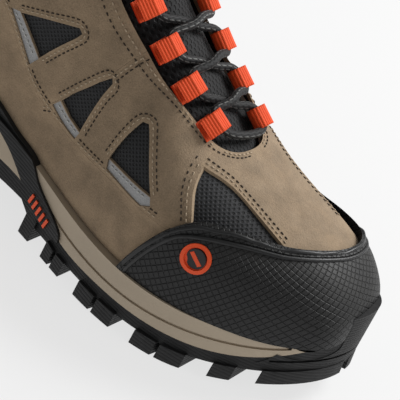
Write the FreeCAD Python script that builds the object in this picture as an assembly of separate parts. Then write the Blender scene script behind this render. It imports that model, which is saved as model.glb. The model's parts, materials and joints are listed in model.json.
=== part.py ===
import FreeCAD
import Part
import math
import os
from collections import namedtuple
from functools import lru_cache
from FreeCAD import Vector

# A right-foot, mid-height hiking boot with a rubber toe guard, in millimetres.
# While it is built, x runs from the heel (0) to the toe, y is positive towards
# the medial side and z is up from the ground. The last step moves every piece so
# that the origin is the centre of the boot's footprint.

# ---------------------------------------------------------------- driving sizes
SOLE_LENGTH = 311.0
LUG_DEPTH = 7.5
HEEL_LUG_DEPTH = 9.0
LUG_FLARE = 3.0            # the lug tips stand out past the sole wall
COLLAR_BACK = 166.0
COLLAR_SIDE = 157.0
COLLAR_FRONT = 184.0
TONGUE_TOP = 197.0

# Every layer of the upper lies between two offsets from the mesh underlay's face.
LINING = (-5.6, -4.3)
INSERT = (-4.2, -1.4)
TOE_CAP = (-3.7, -1.4)
UNDERLAY = (-1.3, 0.0)
SUEDE = (0.1, 1.7)
STRIP = (0.1, 0.7)
GUARD = (1.8, 4.4)
RIM_FACE = 5.3
ARM_FACE = 4.4
ARM_WALL = 1.7             # the arm stands out from the midsole's wall
CUP_FIT = 1.75             # the midsole cup is the upper at this offset

PLATE = (-2.2, -1.4)       # the steel sheet and the board lie between offsets too
PLATE_MARGIN = -11.0       # from the sole wall in to the plate's edge
BOARD = (-4.2, -2.3)
BOARD_EDGE = 4.0           # how far the board's edge curls up the wall
FOOTBED_SKIN = -6.2
FOOTBED_TOP = 10.1

TONGUE_SKIN = -6.4         # the wings lie inside the lining
TONGUE_BACK = -12.0
TONGUE_CROWN = -4.6        # the pad between the two rows of loops
TONGUE_SLIT = 1.6          # between the pad and the throat's edges

LACE_DIAMETER = 4.4
LOOP_WIDTH = 11.0          # webbing width, along the throat
LOOP_SLOT = (10.0, 5.4)    # the hole for the lace, across and in height
LOOP_WALL = 1.5
LOOP_TAIL = 16.0
LACE_STRAIGHT = 7.0        # the lace runs straight this far each side of a loop's middle
LACE_OVER = 5.6            # from one strand to the one that passes over it
CROSSING_RISE = [-1.0, -0.6, 0.2, 2.0, 3.2]    # of the lower strand, over the line between loops
CROSSING_REACH = 5.0       # the strands stay level this far each side of a crossing

# Half sections of the upper from toe to ankle: the lowest and highest point, the
# half width on each side, the height of the widest place as a share of the
# section, how square the bottom and top are, and how far the section leans
# forward as a layer is added outside it.
Section = namedtuple("Section", "low high lateral medial widest belly crown lean")
SECTIONS = [
    Section((304.0, 40.0), (304.0, 49.0), 6.0, 11.0, 0.46, 2.2, 2.2, 1.0),
    Section((302.7, 36.0), (302.7, 54.5), 13.5, 20.5, 0.45, 2.6, 2.3, 1.0),
    Section((299.3, 32.0), (299.3, 60.0), 21.0, 28.0, 0.42, 3.0, 2.5, 0.9),
    Section((290.8, 27.0), (290.8, 68.0), 28.5, 36.0, 0.40, 3.2, 2.6, 0.7),
    Section((278.6, 25.0), (278.6, 75.0), 36.5, 42.0, 0.38, 3.5, 2.6, 0.5),
    Section((261.2, 24.0), (261.2, 80.5), 45.5, 46.5, 0.36, 4.0, 2.6, 0.3),
    Section((239.6, 23.5), (239.6, 86.5), 53.0, 50.0, 0.34, 4.0, 2.6, 0.15),
    Section((212.0, 23.5), (212.0, 97.0), 57.0, 50.5, 0.32, 4.0, 2.6, 0.0),
    Section((170.0, 25.0), (196.0, 108.0), 52.0, 45.0, 0.32, 4.0, 2.8, 0.0),
    Section((125.0, 31.0), (180.0, 121.0), 41.0, 37.0, 0.32, 4.0, 3.0, 0.0),
    Section((80.0, 39.0), (166.0, 131.5), 37.5, 35.5, 0.36, 3.6, 3.0, 0.0),
    Section((40.0, 42.0), (153.0, 142.5), 37.0, 35.5, 0.42, 3.2, 2.9, 0.0),
    Section((14.0, 46.0), (141.0, 154.0), 37.0, 35.5, 0.47, 2.8, 2.8, 0.0),
    Section((4.0, 72.0), (131.0, 164.0), 37.5, 36.5, 0.48, 2.5, 2.7, 0.0),
    Section((8.0, 104.0), (124.0, 172.0), 38.5, 37.5, 0.48, 2.4, 2.6, 0.0),
    Section((14.5, 135.0), (118.0, 180.0), 40.5, 39.5, 0.49, 2.4, 2.5, 0.0),
    Section((14.0, 167.0), (112.0, 190.0), 42.0, 41.0, 0.50, 2.3, 2.4, 0.0),
    Section((12.0, 192.0), (105.0, 206.0), 43.0, 42.0, 0.50, 2.3, 2.4, 0.0),
]
RING_STEPS = 6             # points on each quarter of a section

# Side-view lines, as (x, z).
BOTTOM_LINE = [(-20, 47), (14, 46), (40, 42), (80, 39), (125, 31), (170, 25), (212, 23.5),
               (240, 23.5), (262, 24), (280, 25), (293, 27), (320, 31)]
FEATHER_LINE = [(-20, 55), (20, 54.5), (60, 52), (95, 45.5), (130, 38), (160, 33.5), (190, 31.8),
                (215, 31.4), (240, 31.8), (265, 33.2), (285, 35.2), (300, 39), (330, 46)]
TOE_SPRING = [(235, 0), (262, 2.6), (285, 8), (300, 12), (325, 19)]
BAND_TOP_LINE = [(-20, 24.5), (60, 24.5), (118, 24.5), (135, 22), (161, 15), (190, 14.3),
                 (240, 14.8), (265, 18), (285, 25.6), (300, 35), (325, 50)]
COLLAR_LINE = [(-30, COLLAR_BACK + 1), (8, COLLAR_BACK), (34, 160.5), (62, COLLAR_SIDE),
               (84, 161), (99, 172), (111, COLLAR_FRONT), (124, 195)]
COLLAR_SEAM = [(-30, 143), (8, 142), (34, 137.5), (62, 134.5), (84, 138), (97, 149), (102, 165),
               (103, 210)]

# Plan-view lines of the sole wall, as (x, y), heel to toe.
LATERAL_WALL = [(0.0, 0), (3, -13), (13, -27), (32, -37.5), (62, -41), (98, -40), (130, -44),
                (160, -52), (190, -59.5), (215, -61.5), (240, -57.5), (265, -47.5), (285, -35.5),
                (300, -21), (308.5, -6), (SOLE_LENGTH, 6)]
MEDIAL_WALL = [(310.2, 16), (304, 26), (290, 37.5), (270, 47.5), (245, 53), (215, 54.5),
               (190, 51.5), (160, 45.5), (130, 39.5), (98, 38), (62, 39.5), (32, 36.5),
               (13, 26.5), (3, 13)]

# Panels of the upper, seen from the side, each a list of smooth or straight runs.
MUDGUARD_SEAM = [(-20, 122), (30, 120), (56, 115), (77, 104), (92, 89), (108, 75), (128, 66.5),
                 (150, 63.8), (175, 65.5), (196, 66.5), (222, 66)]
QUARTER_SEAM = [(116, 66), (121, 73), (128, 83), (137, 95), (144, 106), (148, 115), (152, 123),
                (158, 132)]
QUARTER_FRONT = [(207, 112), (208, 99), (209.5, 94), (213, 87), (218, 80.5), (224, 72), (228, 60)]
REAR_WINDOW = [[(86, 107), (103, 113.5), (119, 119)], [(121.5, 117)],
               [(119, 112.5), (113, 104), (105, 91)]]
ARCH_WINDOW = [[(126, 78.5), (137, 95.5), (146, 106.5)], [(147.5, 104)],
               [(145.6, 96), (144, 84), (143, 71)], [(134, 73.5)]]
BALL_WINDOW = [[(166, 73), (168.4, 88), (172, 98.5)], [(175.5, 99.5)],
               [(180, 95), (188, 86), (198, 75)]]
REAR_STRIP = [[(79.5, 106)], [(85.5, 107.3)], [(105, 90.5)], [(101, 84)]]
ARCH_STRIP = [[(122, 73), (131, 68.3), (142, 65.8)], [(143.2, 70.6), (134, 73.2), (125.5, 78)]]
BALL_STRIP = [[(167.5, 67.6)], [(165.6, 72.6)], [(198, 74.7)], [(200.5, 71)], [(195, 67.6)]]

# The throat and the vamp, seen from above.
THROAT = [(60, -29.5), (120, -29.5), (160, -28.5), (193, -26.5), (206, -20.5), (213.5, -11),
          (216, 0), (216, 8), (212.5, 17), (205, 23), (193, 25.5), (160, 25.5), (120, 26.5),
          (60, 26.5)]
VAMP_LATERAL = [(200, -36), (209, -34), (217, -30), (225, -27), (241, -25.5), (268, -25.5),
                (300, -25.5)]
VAMP_MEDIAL = [(300, 31), (268, 31), (241, 30), (225, 31), (217, 34), (209, 37), (200, 39)]
TONGUE_PLAN = [(40, -36), (190, -36), (214, -31), (228, -18), (232, 2), (228, 22), (214, 32),
               (190, 34), (40, 34)]

# The toe guard: its rear edge from the side, and its opening from above.
GUARD_SIDE = [(197, 22), (200, 35), (204.5, 48), (210, 60), (217, 71), (224, 77.5), (236, 82)]
GUARD_OPENING = [(215, -58), (226, -51), (238, -45), (253, -36), (266, -26.5), (277, -12),
                 (283.5, 6), (283, 24), (275, 37), (262, 45), (245, 51), (226, 55), (215, 60)]
BADGE_CENTRE = (232.0, 60.0)
BADGE_RADIUS = 8.0

# The rubber arm that climbs from the outsole to the heel, seen from the side.
ARM_TOP = [(161, 14), (161, 17), (154, 23), (142, 28.5), (133, 34), (127, 40), (113, 44.5),
           (100, 50.5), (84, 58), (60, 64), (30, 67), (-20, 68)]
ARM_LOWER = [(-20, 54), (20, 53.5), (60, 51), (80, 48), (95, 43.5), (103, 39.5), (111, 35),
             (118, 30), (126, 24)]
ARM_BARS = 5

# Where the lug roots are, as (x0, x1) ranges of the lugs along each edge.
EDGE_LUGS = [(134, 146.5), (154, 174), (183, 214), (223.5, 254.5), (263.5, 277)]
TOE_LUG = (285.5, 315)
HEEL_LUGS = [(8, 24), (31, 47), (54, 70), (77, 94)]
ARCH_SPAN = (94.0, 134.0)
ARCH_ROOT = 15.0

# The middle of each webbing loop, from the lowest pair up.
LOOPS_LATERAL = [(197.4, -19.5, 106), (178.5, -21.5, 117), (160, -23, 129.5), (142, -24.2, 143.5),
                 (122.5, -25, 159.5), (110, -25.5, 177.5)]
LOOPS_MEDIAL = [(205, 18.5, 101.5), (186, 19.5, 113), (168, 20.5, 125), (151, 21, 138.5),
                (132, 21.5, 154), (117.3, 22, 170.4)]
LOOP_LIFT = 4.2            # from the loop's middle to the lace's centre line

# The bow, from the knot outwards, as (x, y, z).
KNOT = Vector(121.5, -1.5, 191.5)
KNOT_SIZE = 5.2
BOW_LATERAL = [(120, -6.5, 192.5), (117, -22, 194.5), (110, -37, 188), (103, -46.5, 172),
               (99, -48.5, 154), (93.4, -49, 140.6), (80, -49, 135), (66.6, -48.5, 140.6),
               (61, -48, 154), (66, -48.5, 169), (81, -47, 184), (99, -37, 196),
               (113, -20, 203), (120.5, -5.5, 198)]
BOW_MEDIAL = [(120, 3.5, 192.5), (117, 19, 194.5), (110, 34, 188), (103, 43.5, 172),
              (99, 46.5, 154), (93.4, 47.5, 140.6), (80, 47.5, 135), (66.6, 47, 140.6),
              (61, 46.5, 154), (66, 46, 169), (81, 44.5, 184), (99, 34, 196),
              (113, 17, 203), (120.5, 2.5, 198)]
END_LATERAL = [(124, -6, 189), (129, -18, 189.5), (127.5, -30, 182), (122, -37.5, 167.5),
               (119, -39.5, 152)]
END_MEDIAL = [(124, 3, 189), (129, 15, 189.5), (128.5, 28, 184), (124.5, 37.5, 172),
              (121.5, 41.5, 154), (121, 41.5, 137), (121.5, 41.5, 122)]
AGLET_LENGTH = 12.0
AGLET_DIAMETER = 4.8

# The pull loop at the back of the collar.
PULL_MIDDLE = (6.0, 169.5)
PULL_SIZE = (11.0, 35.0)
PULL_THICKNESS = 1.8
PULL_WIDTH = 12.0


# ---------------------------------------------------------------- small helpers
def side(points):
    """Turn (x, z) pairs into points on the plane of symmetry."""
    return [Vector(x, 0, z) for x, z in points]


def plan(points):
    """Turn (x, y) pairs into points on the ground."""
    return [Vector(x, y, 0) for x, y in points]


def run(points):
    """One edge: a straight one through two points or a smooth one through more."""
    if len(points) == 2:
        return Part.makeLine(points[0], points[1])
    spline = Part.BSplineCurve()
    spline.interpolate(points)
    return spline.toShape()


def face(runs):
    """A flat face whose outline is the given runs joined end to end by lines."""
    edges = []
    for here, following in zip(runs, runs[1:] + runs[:1]):
        if len(here) > 1:
            edges.append(run(here))
        if (here[-1] - following[0]).Length > 0.01:
            edges.append(Part.makeLine(here[-1], following[0]))
    return Part.Face(Part.Wire(edges))


def side_prism(runs, y0=-90, y1=90):
    """A solid that shows the given (x, z) outline from the side."""
    flat = face([side(points) for points in runs])
    flat.translate(Vector(0, y0, 0))
    return flat.extrude(Vector(0, y1 - y0, 0))


def plan_prism(runs, z0, z1):
    """A solid that shows the given (x, y) outline from above."""
    flat = face([plan(points) for points in runs])
    flat.translate(Vector(0, 0, z0))
    return flat.extrude(Vector(0, 0, z1 - z0))


def above(line, ceiling=260):
    """Everything over a side-view line."""
    return side_prism([line, [(line[-1][0], ceiling)], [(line[0][0], ceiling)]])


def below(line, floor=-40):
    """Everything under a side-view line."""
    return side_prism([line, [(line[-1][0], floor)], [(line[0][0], floor)]])


def under(line):
    """Everything under a line round the ankle, and all of the forefoot."""
    height = line[-1][1]
    return side_prism([line, [(400, height)], [(400, -40)], [(line[0][0], -40)]])


def behind(line):
    """Everything above and behind a line round the ankle."""
    moved = [(x - 0.3, z + 0.3) for x, z in line]
    return side_prism([moved, [(moved[-1][0], 260)], [(moved[0][0], 260)]])


def raised(line, rise):
    """A side-view line moved up."""
    return [(x, z + rise) for x, z in line]


def beside(line, distance):
    """A line of pairs moved to its right-hand side."""
    moved = []
    for index, (a, b) in enumerate(line):
        before, after = line[max(index - 1, 0)], line[min(index + 1, len(line) - 1)]
        run_a, run_b = after[0] - before[0], after[1] - before[1]
        share = distance / math.hypot(run_a, run_b)
        moved.append((a + run_b * share, b - run_a * share))
    return moved


def box(x0, x1, y0, y1, z0, z1):
    """A plain box between two corners."""
    return Part.makeBox(x1 - x0, y1 - y0, z1 - z0, Vector(x0, y0, z0))


def half(sign, gap=0.0):
    """Everything on one side of the plane of symmetry."""
    return box(-60, 400, gap, 120, -20, 260) if sign > 0 else box(-60, 400, -120, -gap, -20, 260)


def solids(shape):
    """The shape as one solid or a compound of solids, without loose faces."""
    found = [s for s in shape.Solids if s.Volume > 1.0]
    return found[0] if len(found) == 1 else Part.makeCompound(found)


# ---------------------------------------------------------------- upper surfaces
def ring_points(section, offset):
    """Points around the upper, from its lowest point up the lateral side and back."""
    low = Vector(section.low[0], 0, section.low[1])
    high = Vector(section.high[0], 0, section.high[1])
    up = (high - low).normalize()
    length = (high - low).Length + 2 * offset
    start = low - up * offset + Vector(section.lean * offset, 0, 0)
    rows = []
    for step in range(2 * RING_STEPS + 1):
        angle = math.pi * step / (2 * RING_STEPS)
        lower = step <= RING_STEPS
        power = 2 / (section.belly if lower else section.crown)
        cosine = abs(math.cos(angle)) ** power
        share = (section.widest * (1 - cosine) if lower
                 else section.widest + (1 - section.widest) * cosine)
        rows.append((share, math.sin(angle) ** power if 0 < step < 2 * RING_STEPS else 0.0))
    lateral = [start + up * length * share - Vector(0, (section.lateral + offset) * wide, 0)
               for share, wide in rows]
    medial = [start + up * length * share + Vector(0, (section.medial + offset) * wide, 0)
              for share, wide in rows[-2:0:-1]]
    return lateral + medial


def shared_knots(rings):
    """One parameter for each point, the average of its place along every ring."""
    total = [0.0] * (len(rings[0]) + 1)
    for points in rings:
        steps = [(b - a).Length for a, b in zip(points, points[1:] + points[:1])]
        for index in range(len(steps)):
            total[index + 1] += sum(steps[:index + 1]) / sum(steps)
    return [value / len(rings) for value in total]


@lru_cache(maxsize=None)
def body(offset):
    """The upper as one solid, with its skin at the offset from the underlay's face."""
    rings = [ring_points(s, offset) for s in SECTIONS if s.lateral + offset > 3.5]
    knots = shared_knots(rings)
    wires = []
    for points in rings:
        spline = Part.BSplineCurve()
        spline.interpolate(points, PeriodicFlag=True, Parameters=knots)
        wires.append(Part.Wire([spline.toShape()]))
    return Part.makeLoft(wires, True, False)


@lru_cache(maxsize=None)
def throat(inset=0.0):
    """The opening for the tongue, cut from above."""
    return plan_prism([beside(THROAT, -inset)], 72, 232)


@lru_cache(maxsize=None)
def layer(inner, outer):
    """A skin between two offsets, open at the throat and at the collar."""
    return body(outer).common(under(COLLAR_LINE)).cut(throat()).cut(body(inner))


def suede(region):
    """A suede panel over a region, down to a tuck inside the midsole cup."""
    return layer(*SUEDE).common(above(raised(FEATHER_LINE, -5))).common(region)


# ---------------------------------------------------------------- sole unit
@lru_cache(maxsize=None)
def sole_outline(grow=0.0):
    """The sole wall's outline as a closed wire, moved out all round."""
    points = plan(LATERAL_WALL + MEDIAL_WALL)
    moved = []
    for before, here, after in zip(points[-1:] + points, points, points[1:] + points[:1]):
        along = (after - before).normalize()
        moved.append(here + Vector(along.y, -along.x, 0) * grow)
    spline = Part.BSplineCurve()
    spline.interpolate(moved, PeriodicFlag=True)
    return Part.Wire([spline.toShape()])


@lru_cache(maxsize=None)
def sole_prism(grow=0.0, z0=-1.0, z1=90.0):
    """Everything inside the sole wall."""
    flat = Part.Face(sole_outline(grow))
    flat.translate(Vector(0, 0, z0))
    return flat.extrude(Vector(0, 0, z1 - z0))


def lug_envelope():
    """The room for the lugs, wider at the ground than at their roots."""
    wide = sole_outline(LUG_FLARE).copy()
    narrow = sole_outline(0.3).copy()
    wide.translate(Vector(0, 0, -1))
    narrow.translate(Vector(0, 0, 26))
    return Part.makeLoft([wide, narrow], True, True)


def lug(x0, x1, y0, y1, slant, top=30):
    """One lug seen from above: a slanted block between two distances from the middle."""
    flat = face([plan([(x0, y0)]), plan([(x1, y0)]), plan([(x1 + slant, y1)]),
                 plan([(x0 + slant, y1)])])
    flat.translate(Vector(0, 0, -2))
    return flat.extrude(Vector(0, 0, top + 2))


def side_notch(x, y, sign):
    """The small step halfway along an edge lug."""
    notch = Part.makeBox(2.2, 9, 30, Vector(x - 1.1, y - 4.5, -2))
    notch.rotate(Vector(x, y, 0), Vector(0, 0, 1), sign * 12)
    return notch


def wall_at(x, line):
    """The wall's distance from the middle at one place along the boot."""
    for (xa, ya), (xb, yb) in zip(line, line[1:]):
        if min(xa, xb) <= x <= max(xa, xb):
            return ya + (yb - ya) * (x - xa) / (xb - xa)
    return 0.0


def edge_lugs():
    """The rows of lugs along both edges of the sole, each with a notch."""
    blocks, notches = [], []
    for line, sign in ((LATERAL_WALL, -1), (MEDIAL_WALL, 1)):
        for x0, x1 in EDGE_LUGS + HEEL_LUGS:
            middle = (x0 + x1) / 2
            wall = wall_at(middle, line)
            inner = wall - sign * (20 if x1 - x0 > 18 else 15)
            blocks.append(lug(x0 + 3, x1 - 1, inner, sign * 90, -6))
            if x1 - x0 > 15:
                notches.append(side_notch(middle - 2, wall + sign * 3, sign))
    return blocks, notches


def middle_lugs():
    """Chevrons along the middle of the forefoot and bars across the heel."""
    blocks = []
    for step in range(7):
        x = 150 + 18.5 * step
        reach = 21 if x > 180 else 15
        for sign, centre in ((-1, -2), (1, -2)):
            blocks.append(lug(x + 8, x + 17, centre + sign * 1.6, centre + sign * reach * 0.62, -7))
    for x0, x1 in HEEL_LUGS:
        for sign in (-1, 1):
            blocks.append(lug(x0 + 7, x1 + 1, sign * 1.5, sign * 16, -5))
    return blocks


def toe_and_heel_lugs():
    """The toe lug, split down the middle, and the round lug at the back of the heel."""
    toe = box(TOE_LUG[0], TOE_LUG[1], -40, 60, -2, 30).cut(box(280, 320, 3, 8, -3, 31))
    back = box(-10, HEEL_LUGS[0][0] - 4, -60, 60, -2, 30)
    return [toe, back]


def tread():
    """All lugs, cut to the flared outline and to the ground."""
    blocks, notches = edge_lugs()
    blocks = blocks + middle_lugs() + toe_and_heel_lugs()
    joined = blocks[0].fuse(blocks[1:]).cut(Part.makeCompound(notches))
    roots = lug_roots()
    return joined.common(lug_envelope()).common(roots)


def lug_roots():
    """The side view of the lugs: from the ground to a little above their roots."""
    heel = side_prism([[(-20, 0)], [(ARCH_SPAN[0], 0)], [(ARCH_SPAN[0] + 3, 16)], [(-20, 16)]])
    front = side_prism([[(ARCH_SPAN[1] - 1, 16)], [(ARCH_SPAN[1], 0)], TOE_SPRING,
                        raised(TOE_SPRING, LUG_DEPTH + 1)[::-1], [(160, 9)]])
    return heel.fuse(front)


def root_line():
    """The underside of the rubber between the lugs, from heel to toe."""
    front = raised(TOE_SPRING, LUG_DEPTH)
    return ([(-20, HEEL_LUG_DEPTH)], [(ARCH_SPAN[0] - 3, HEEL_LUG_DEPTH)],
            [(ARCH_SPAN[0] + 3, ARCH_ROOT)], [(ARCH_SPAN[1] - 6, ARCH_ROOT)],
            [(ARCH_SPAN[1] + 5, LUG_DEPTH)], front)


def outsole_band():
    """The rubber band under the midsole."""
    side_view = side_prism(list(root_line()) + [BAND_TOP_LINE[::-1]])
    return sole_prism(0.0, -1, 60).common(side_view).cut(body(CUP_FIT))


def toe_bumper():
    """The outsole's lip that turns up over the toe guard."""
    side_view = side_prism([[(281, 20), (287, 27.5), (291, 36), (295, 45), (300, 52), (306, 55.5),
                             (318, 57)], [(322, 22)], [(300, 22)]])
    return sole_prism(0.3, 10, 60).common(side_view).cut(body(GUARD[1] + 0.1))


def arms():
    """The rubber arms from the forefoot edge up round the heel."""
    side_view = side_prism([ARM_TOP, ARM_LOWER, [(134, 22)], [(134, 14)]])
    on_wall = sole_prism(ARM_WALL).common(below(raised(FEATHER_LINE, 2)))
    shell = body(ARM_FACE).common(side_view).fuse(on_wall.common(side_view))
    inside = sole_prism(0.0, 5, 90).common(below(raised(FEATHER_LINE, 0.05)))
    return shell.cut([body(SUEDE[1] + 0.1), inside, box(40, 400, -12, 12, 0, 90)])


def bumper_groove():
    """The line moulded round the toe of the outsole."""
    line = side_prism([[(286, 22.5), (302, 27), (322, 31.5)], [(322, 32.9), (302, 28.4),
                                                                (286, 23.9)]])
    return line.common(sole_prism(6, 0, 70)).cut(sole_prism(-0.8, 0, 70))


def outsole():
    """The moulded rubber outsole with its lugs, toe bumper and arms."""
    toe = outsole_band().fuse(toe_bumper()).cut(bumper_groove())
    return toe.fuse([tread(), arms()])


def sole_wall_groove():
    """The step that runs along the midsole's side wall."""
    groove = side_prism([[(140, 26.5), (160, 21.5), (180, 19.8), (215, 19.8), (242, 21.5),
                          (268, 25.5), (292, 33)], [(292, 34.6), (268, 27.1), (242, 23.1),
                          (215, 21.4), (180, 21.4), (160, 23.1), (140, 28.1)]])
    return groove.common(sole_prism(6, 0, 70)).cut(sole_prism(-1.1, 0, 70))


def shank_band(grow=0.0):
    """The curved plate under the arch, or the pocket that it lies in."""
    line = [(72 - grow, 31.5), (100, 28.5), (130, 23.5), (158 + grow, 20.2)]
    flat = side_prism([raised(line, -grow), raised(line, 1.8 + grow)[::-1]], -14 - grow, 14 + grow)
    return flat


def midsole():
    """The foam midsole: a cup round the foot of the upper."""
    wall = sole_prism(0.0, 5, 70).common(above(BAND_TOP_LINE)).common(below(FEATHER_LINE))
    cup = wall.cut(body(CUP_FIT)).cut(toe_bumper()).cut(sole_wall_groove())
    cup = cup.cut(shank_band(0.1))
    return cup


def arm_bars(sign):
    """Slanted raised bars on the arm's front face."""
    bars = []
    for step in range(ARM_BARS):
        x = 133.5 + 3.6 * step
        z = 22.2 - 1.15 * step
        bars.append([[(x, z - 2.6)], [(x + 1.7, z - 3.1)], [(x + 3.1, z + 2.8)], [(x + 1.4, z + 3.3)]])
    outer = sole_prism(ARM_WALL + 0.8, 8, 40).cut(sole_prism(ARM_WALL + 0.05, 8, 40))
    outer = outer.common(half(sign, 5))
    return Part.makeCompound([solids(side_prism(bar).common(outer)) for bar in bars])


# ---------------------------------------------------------------- bottom of the upper
def bottom_layer(skin, height, trim):
    """A sheet under the foot between two offsets, inside a plan outline."""
    room = below(raised(BOTTOM_LINE, height)).common(trim)
    return solids(body(skin[1]).common(room).cut(body(skin[0])))


def puncture_plate():
    """The thin steel sheet under the insole board."""
    return bottom_layer(PLATE, BOARD_EDGE - 1, sole_prism(PLATE_MARGIN, 0, 90))


def insole_board():
    """The stiff board that the upper is lasted round."""
    return bottom_layer(BOARD, BOARD_EDGE, box(-10, 330, -90, 90, 0, 90))


def footbed():
    """The removable footbed inside the lining, flat on top."""
    room = below(raised(BOTTOM_LINE, FOOTBED_TOP)).common(box(20, 296, -80, 80, 0, 90))
    return solids(body(FOOTBED_SKIN).common(room))


# ---------------------------------------------------------------- upper
def lining():
    """The inner sock, closed under the foot and open at the throat and collar."""
    return solids(layer(*LINING))


def insert_skin(skin, region):
    """A stiffener or foam between the lining and the underlay, above the board."""
    over_board = above(raised(BOTTOM_LINE, 4.6))
    return solids(layer(*skin).common(over_board).common(region))


def internal_toe_cap():
    """The protective cap over the toes."""
    return insert_skin(TOE_CAP, box(243, 330, -80, 80, 0, 120))


def heel_counter():
    """The stiff cup round the heel."""
    return insert_skin(INSERT, side_prism([[(-20, 30)], [(62, 30)], [(58, 70), (48, 92), (30, 104)],
                                           [(-20, 106)]]))


def foam_interlining():
    """Thin foam between the lining and the underlay of the quarters."""
    region = side_prism([[(66, 30)], [(240, 30)], [(240, 140)], [(190, 200)], COLLAR_SEAM[::-1],
                         [(-30, 109)], [(31, 107), (51, 94), (61.5, 71)]])
    return insert_skin(INSERT, region)


def collar_foam():
    """The thick foam ring round the ankle."""
    return solids(layer(INSERT[0], UNDERLAY[1]).common(behind(COLLAR_SEAM)))


def collar_cover():
    """The soft cover outside the collar foam."""
    return solids(layer(*SUEDE).common(behind(COLLAR_SEAM)).cut(backstay_room(0.3)))


def mesh_underlay():
    """The mesh that shows in the windows, lasted a little way under the foot."""
    lasted = sole_prism(-17, 0, 60).common(below(raised(BOTTOM_LINE, 3)))
    return solids(layer(*UNDERLAY).common(under(COLLAR_SEAM)).cut(lasted))


def windows():
    """The three openings in the side panels that show the mesh."""
    return [side_prism(outline) for outline in (REAR_WINDOW, ARCH_WINDOW, BALL_WINDOW)]


def strips():
    """The reflective strips along the lower edge of each window."""
    return [side_prism(outline) for outline in (REAR_STRIP, ARCH_STRIP, BALL_STRIP)]


def backstay_room(grow=0.0):
    """The room of the panel down the back of the heel."""
    return box(-30, 70, -11 - grow, 11 + grow, 20, 150 + grow)


def heel_panel():
    """The panel down the back seam."""
    return solids(suede(backstay_room()))


def mudguard(sign):
    """The low panel along the sole, from the heel to the toe guard."""
    region = below(MUDGUARD_SEAM).common(half(sign)).cut(backstay_room(0.15)).cut(vamp_room(0.1))
    return solids(suede(region).cut(guard_room(0.1)))


def rear_quarter(sign):
    """The ankle panel with the rear window."""
    region = side_prism([MUDGUARD_SEAM[:6], QUARTER_SEAM, [(166, 150)], [(140, 190)],
                         COLLAR_SEAM[::-1]])
    region = region.common(above(raised(MUDGUARD_SEAM, 0.1))).common(half(sign))
    region = region.cut([windows()[0], strips()[0], backstay_room(0.15)])
    return solids(suede(region))


def front_quarter(sign):
    """The panel with the eyestay, the arch window and the ball window."""
    region = side_prism([[(x + 0.12, z) for x, z in QUARTER_SEAM], [(170, 150)], [(206, 130)],
                         QUARTER_FRONT, [(116, 60)]])
    region = region.common(above(raised(MUDGUARD_SEAM, 0.1))).common(half(sign))
    region = region.cut(windows()[1:] + strips()[1:]).cut(vamp_room(0.1))
    return solids(suede(region).cut(guard_room(0.1)))


def reflective_strips(sign):
    """Three bright strips on one side."""
    found = []
    for strip in strips():
        shrunk = layer(*STRIP).common(strip).common(half(sign))
        found += shrunk.Solids
    return Part.makeCompound(found)


def vamp_room(grow=0.0):
    """The plan of the panel over the toes, in front of the throat."""
    outline = [beside(VAMP_LATERAL, grow), beside(VAMP_MEDIAL, grow)]
    return plan_prism(outline, 62, 142).common(box(207.5 - grow, 400, -90, 90, 0, 200))


def vamp():
    """The panel over the toes."""
    return solids(suede(vamp_room()).cut(guard_room(0.1)))


def guard_room(grow=0.0, inset=0.0):
    """The region of the toe guard, over which its panels and its rim are cut."""
    edge = beside(GUARD_SIDE, inset - grow)
    flank = side_prism([edge, [(edge[-1][0], 130)], [(340, 130)], [(340, edge[0][1])]])
    return flank.cut(plan_prism([beside(GUARD_OPENING, inset - grow)], 60, 150))


def toe_guard():
    """The rubber cap with a doubled rim, seated on the midsole's edge."""
    seat = above(raised(FEATHER_LINE, 0.1))
    cap = body(GUARD[1]).common(guard_room()).cut(body(GUARD[0]))
    bead = body(RIM_FACE).common(guard_room()).cut(body(GUARD[1] - 0.3))
    outer_bead = bead.cut(guard_room(0, 1.5))
    inner_bead = bead.common(guard_room(0, 2.1)).cut(guard_room(0, 3.4))
    joined = cap.fuse([outer_bead, inner_bead]).common(seat)
    return solids(joined.cut(badge_room(0.15)))


def badge_room(grow=0.0):
    """A round boss through the guard's skin, normal to the lateral face."""
    start = Vector(BADGE_CENTRE[0], -40, BADGE_CENTRE[1])
    axis = Vector(0.13, -1, 0.18)
    return Part.makeCylinder(BADGE_RADIUS + grow, 40, start, axis)


def guard_badge():
    """A plain ring with a bar, set into the guard."""
    start = Vector(BADGE_CENTRE[0], -40, BADGE_CENTRE[1])
    axis = Vector(0.13, -1, 0.18)
    ring_solid = badge_room().cut(Part.makeCylinder(BADGE_RADIUS - 2.0, 40, start, axis))
    plate = badge_room().common(body(GUARD[1] - 0.6)).cut(body(GUARD[0] + 0.05))
    rim = ring_solid.common(body(GUARD[1] + 0.5)).cut(body(GUARD[0] + 0.05))
    return solids(plate.fuse(rim))


# ---------------------------------------------------------------- tongue
def tongue_band():
    """The side view of the tongue: a strip along the front of the upper."""
    front = [(240, 60), (262, 84), (215, 112), (186, 140), (160, 170), (136, 212)]
    back = [(74, 206), (86, 170), (108, 134), (148, 104), (185, 84), (212, 72)]
    return side_prism([front, back])


def tongue_trim():
    """The tongue's rounded upper end."""
    return side_prism([[(60, TONGUE_TOP - 24), (90, TONGUE_TOP - 16), (104, TONGUE_TOP - 3),
                         (125, TONGUE_TOP + 1)], [(250, 200)], [(250, 50)], [(60, 50)]])


def tongue():
    """The padded tongue: a raised pad in the throat and thin wings under its edges."""
    room = tongue_band().common(tongue_trim())
    wings = body(TONGUE_SKIN).common(plan_prism([TONGUE_PLAN], 60, 220)).common(room)
    pad = body(TONGUE_CROWN).common(throat(TONGUE_SLIT)).common(room)
    return solids(wings.fuse(pad).cut(body(TONGUE_BACK)))


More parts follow.
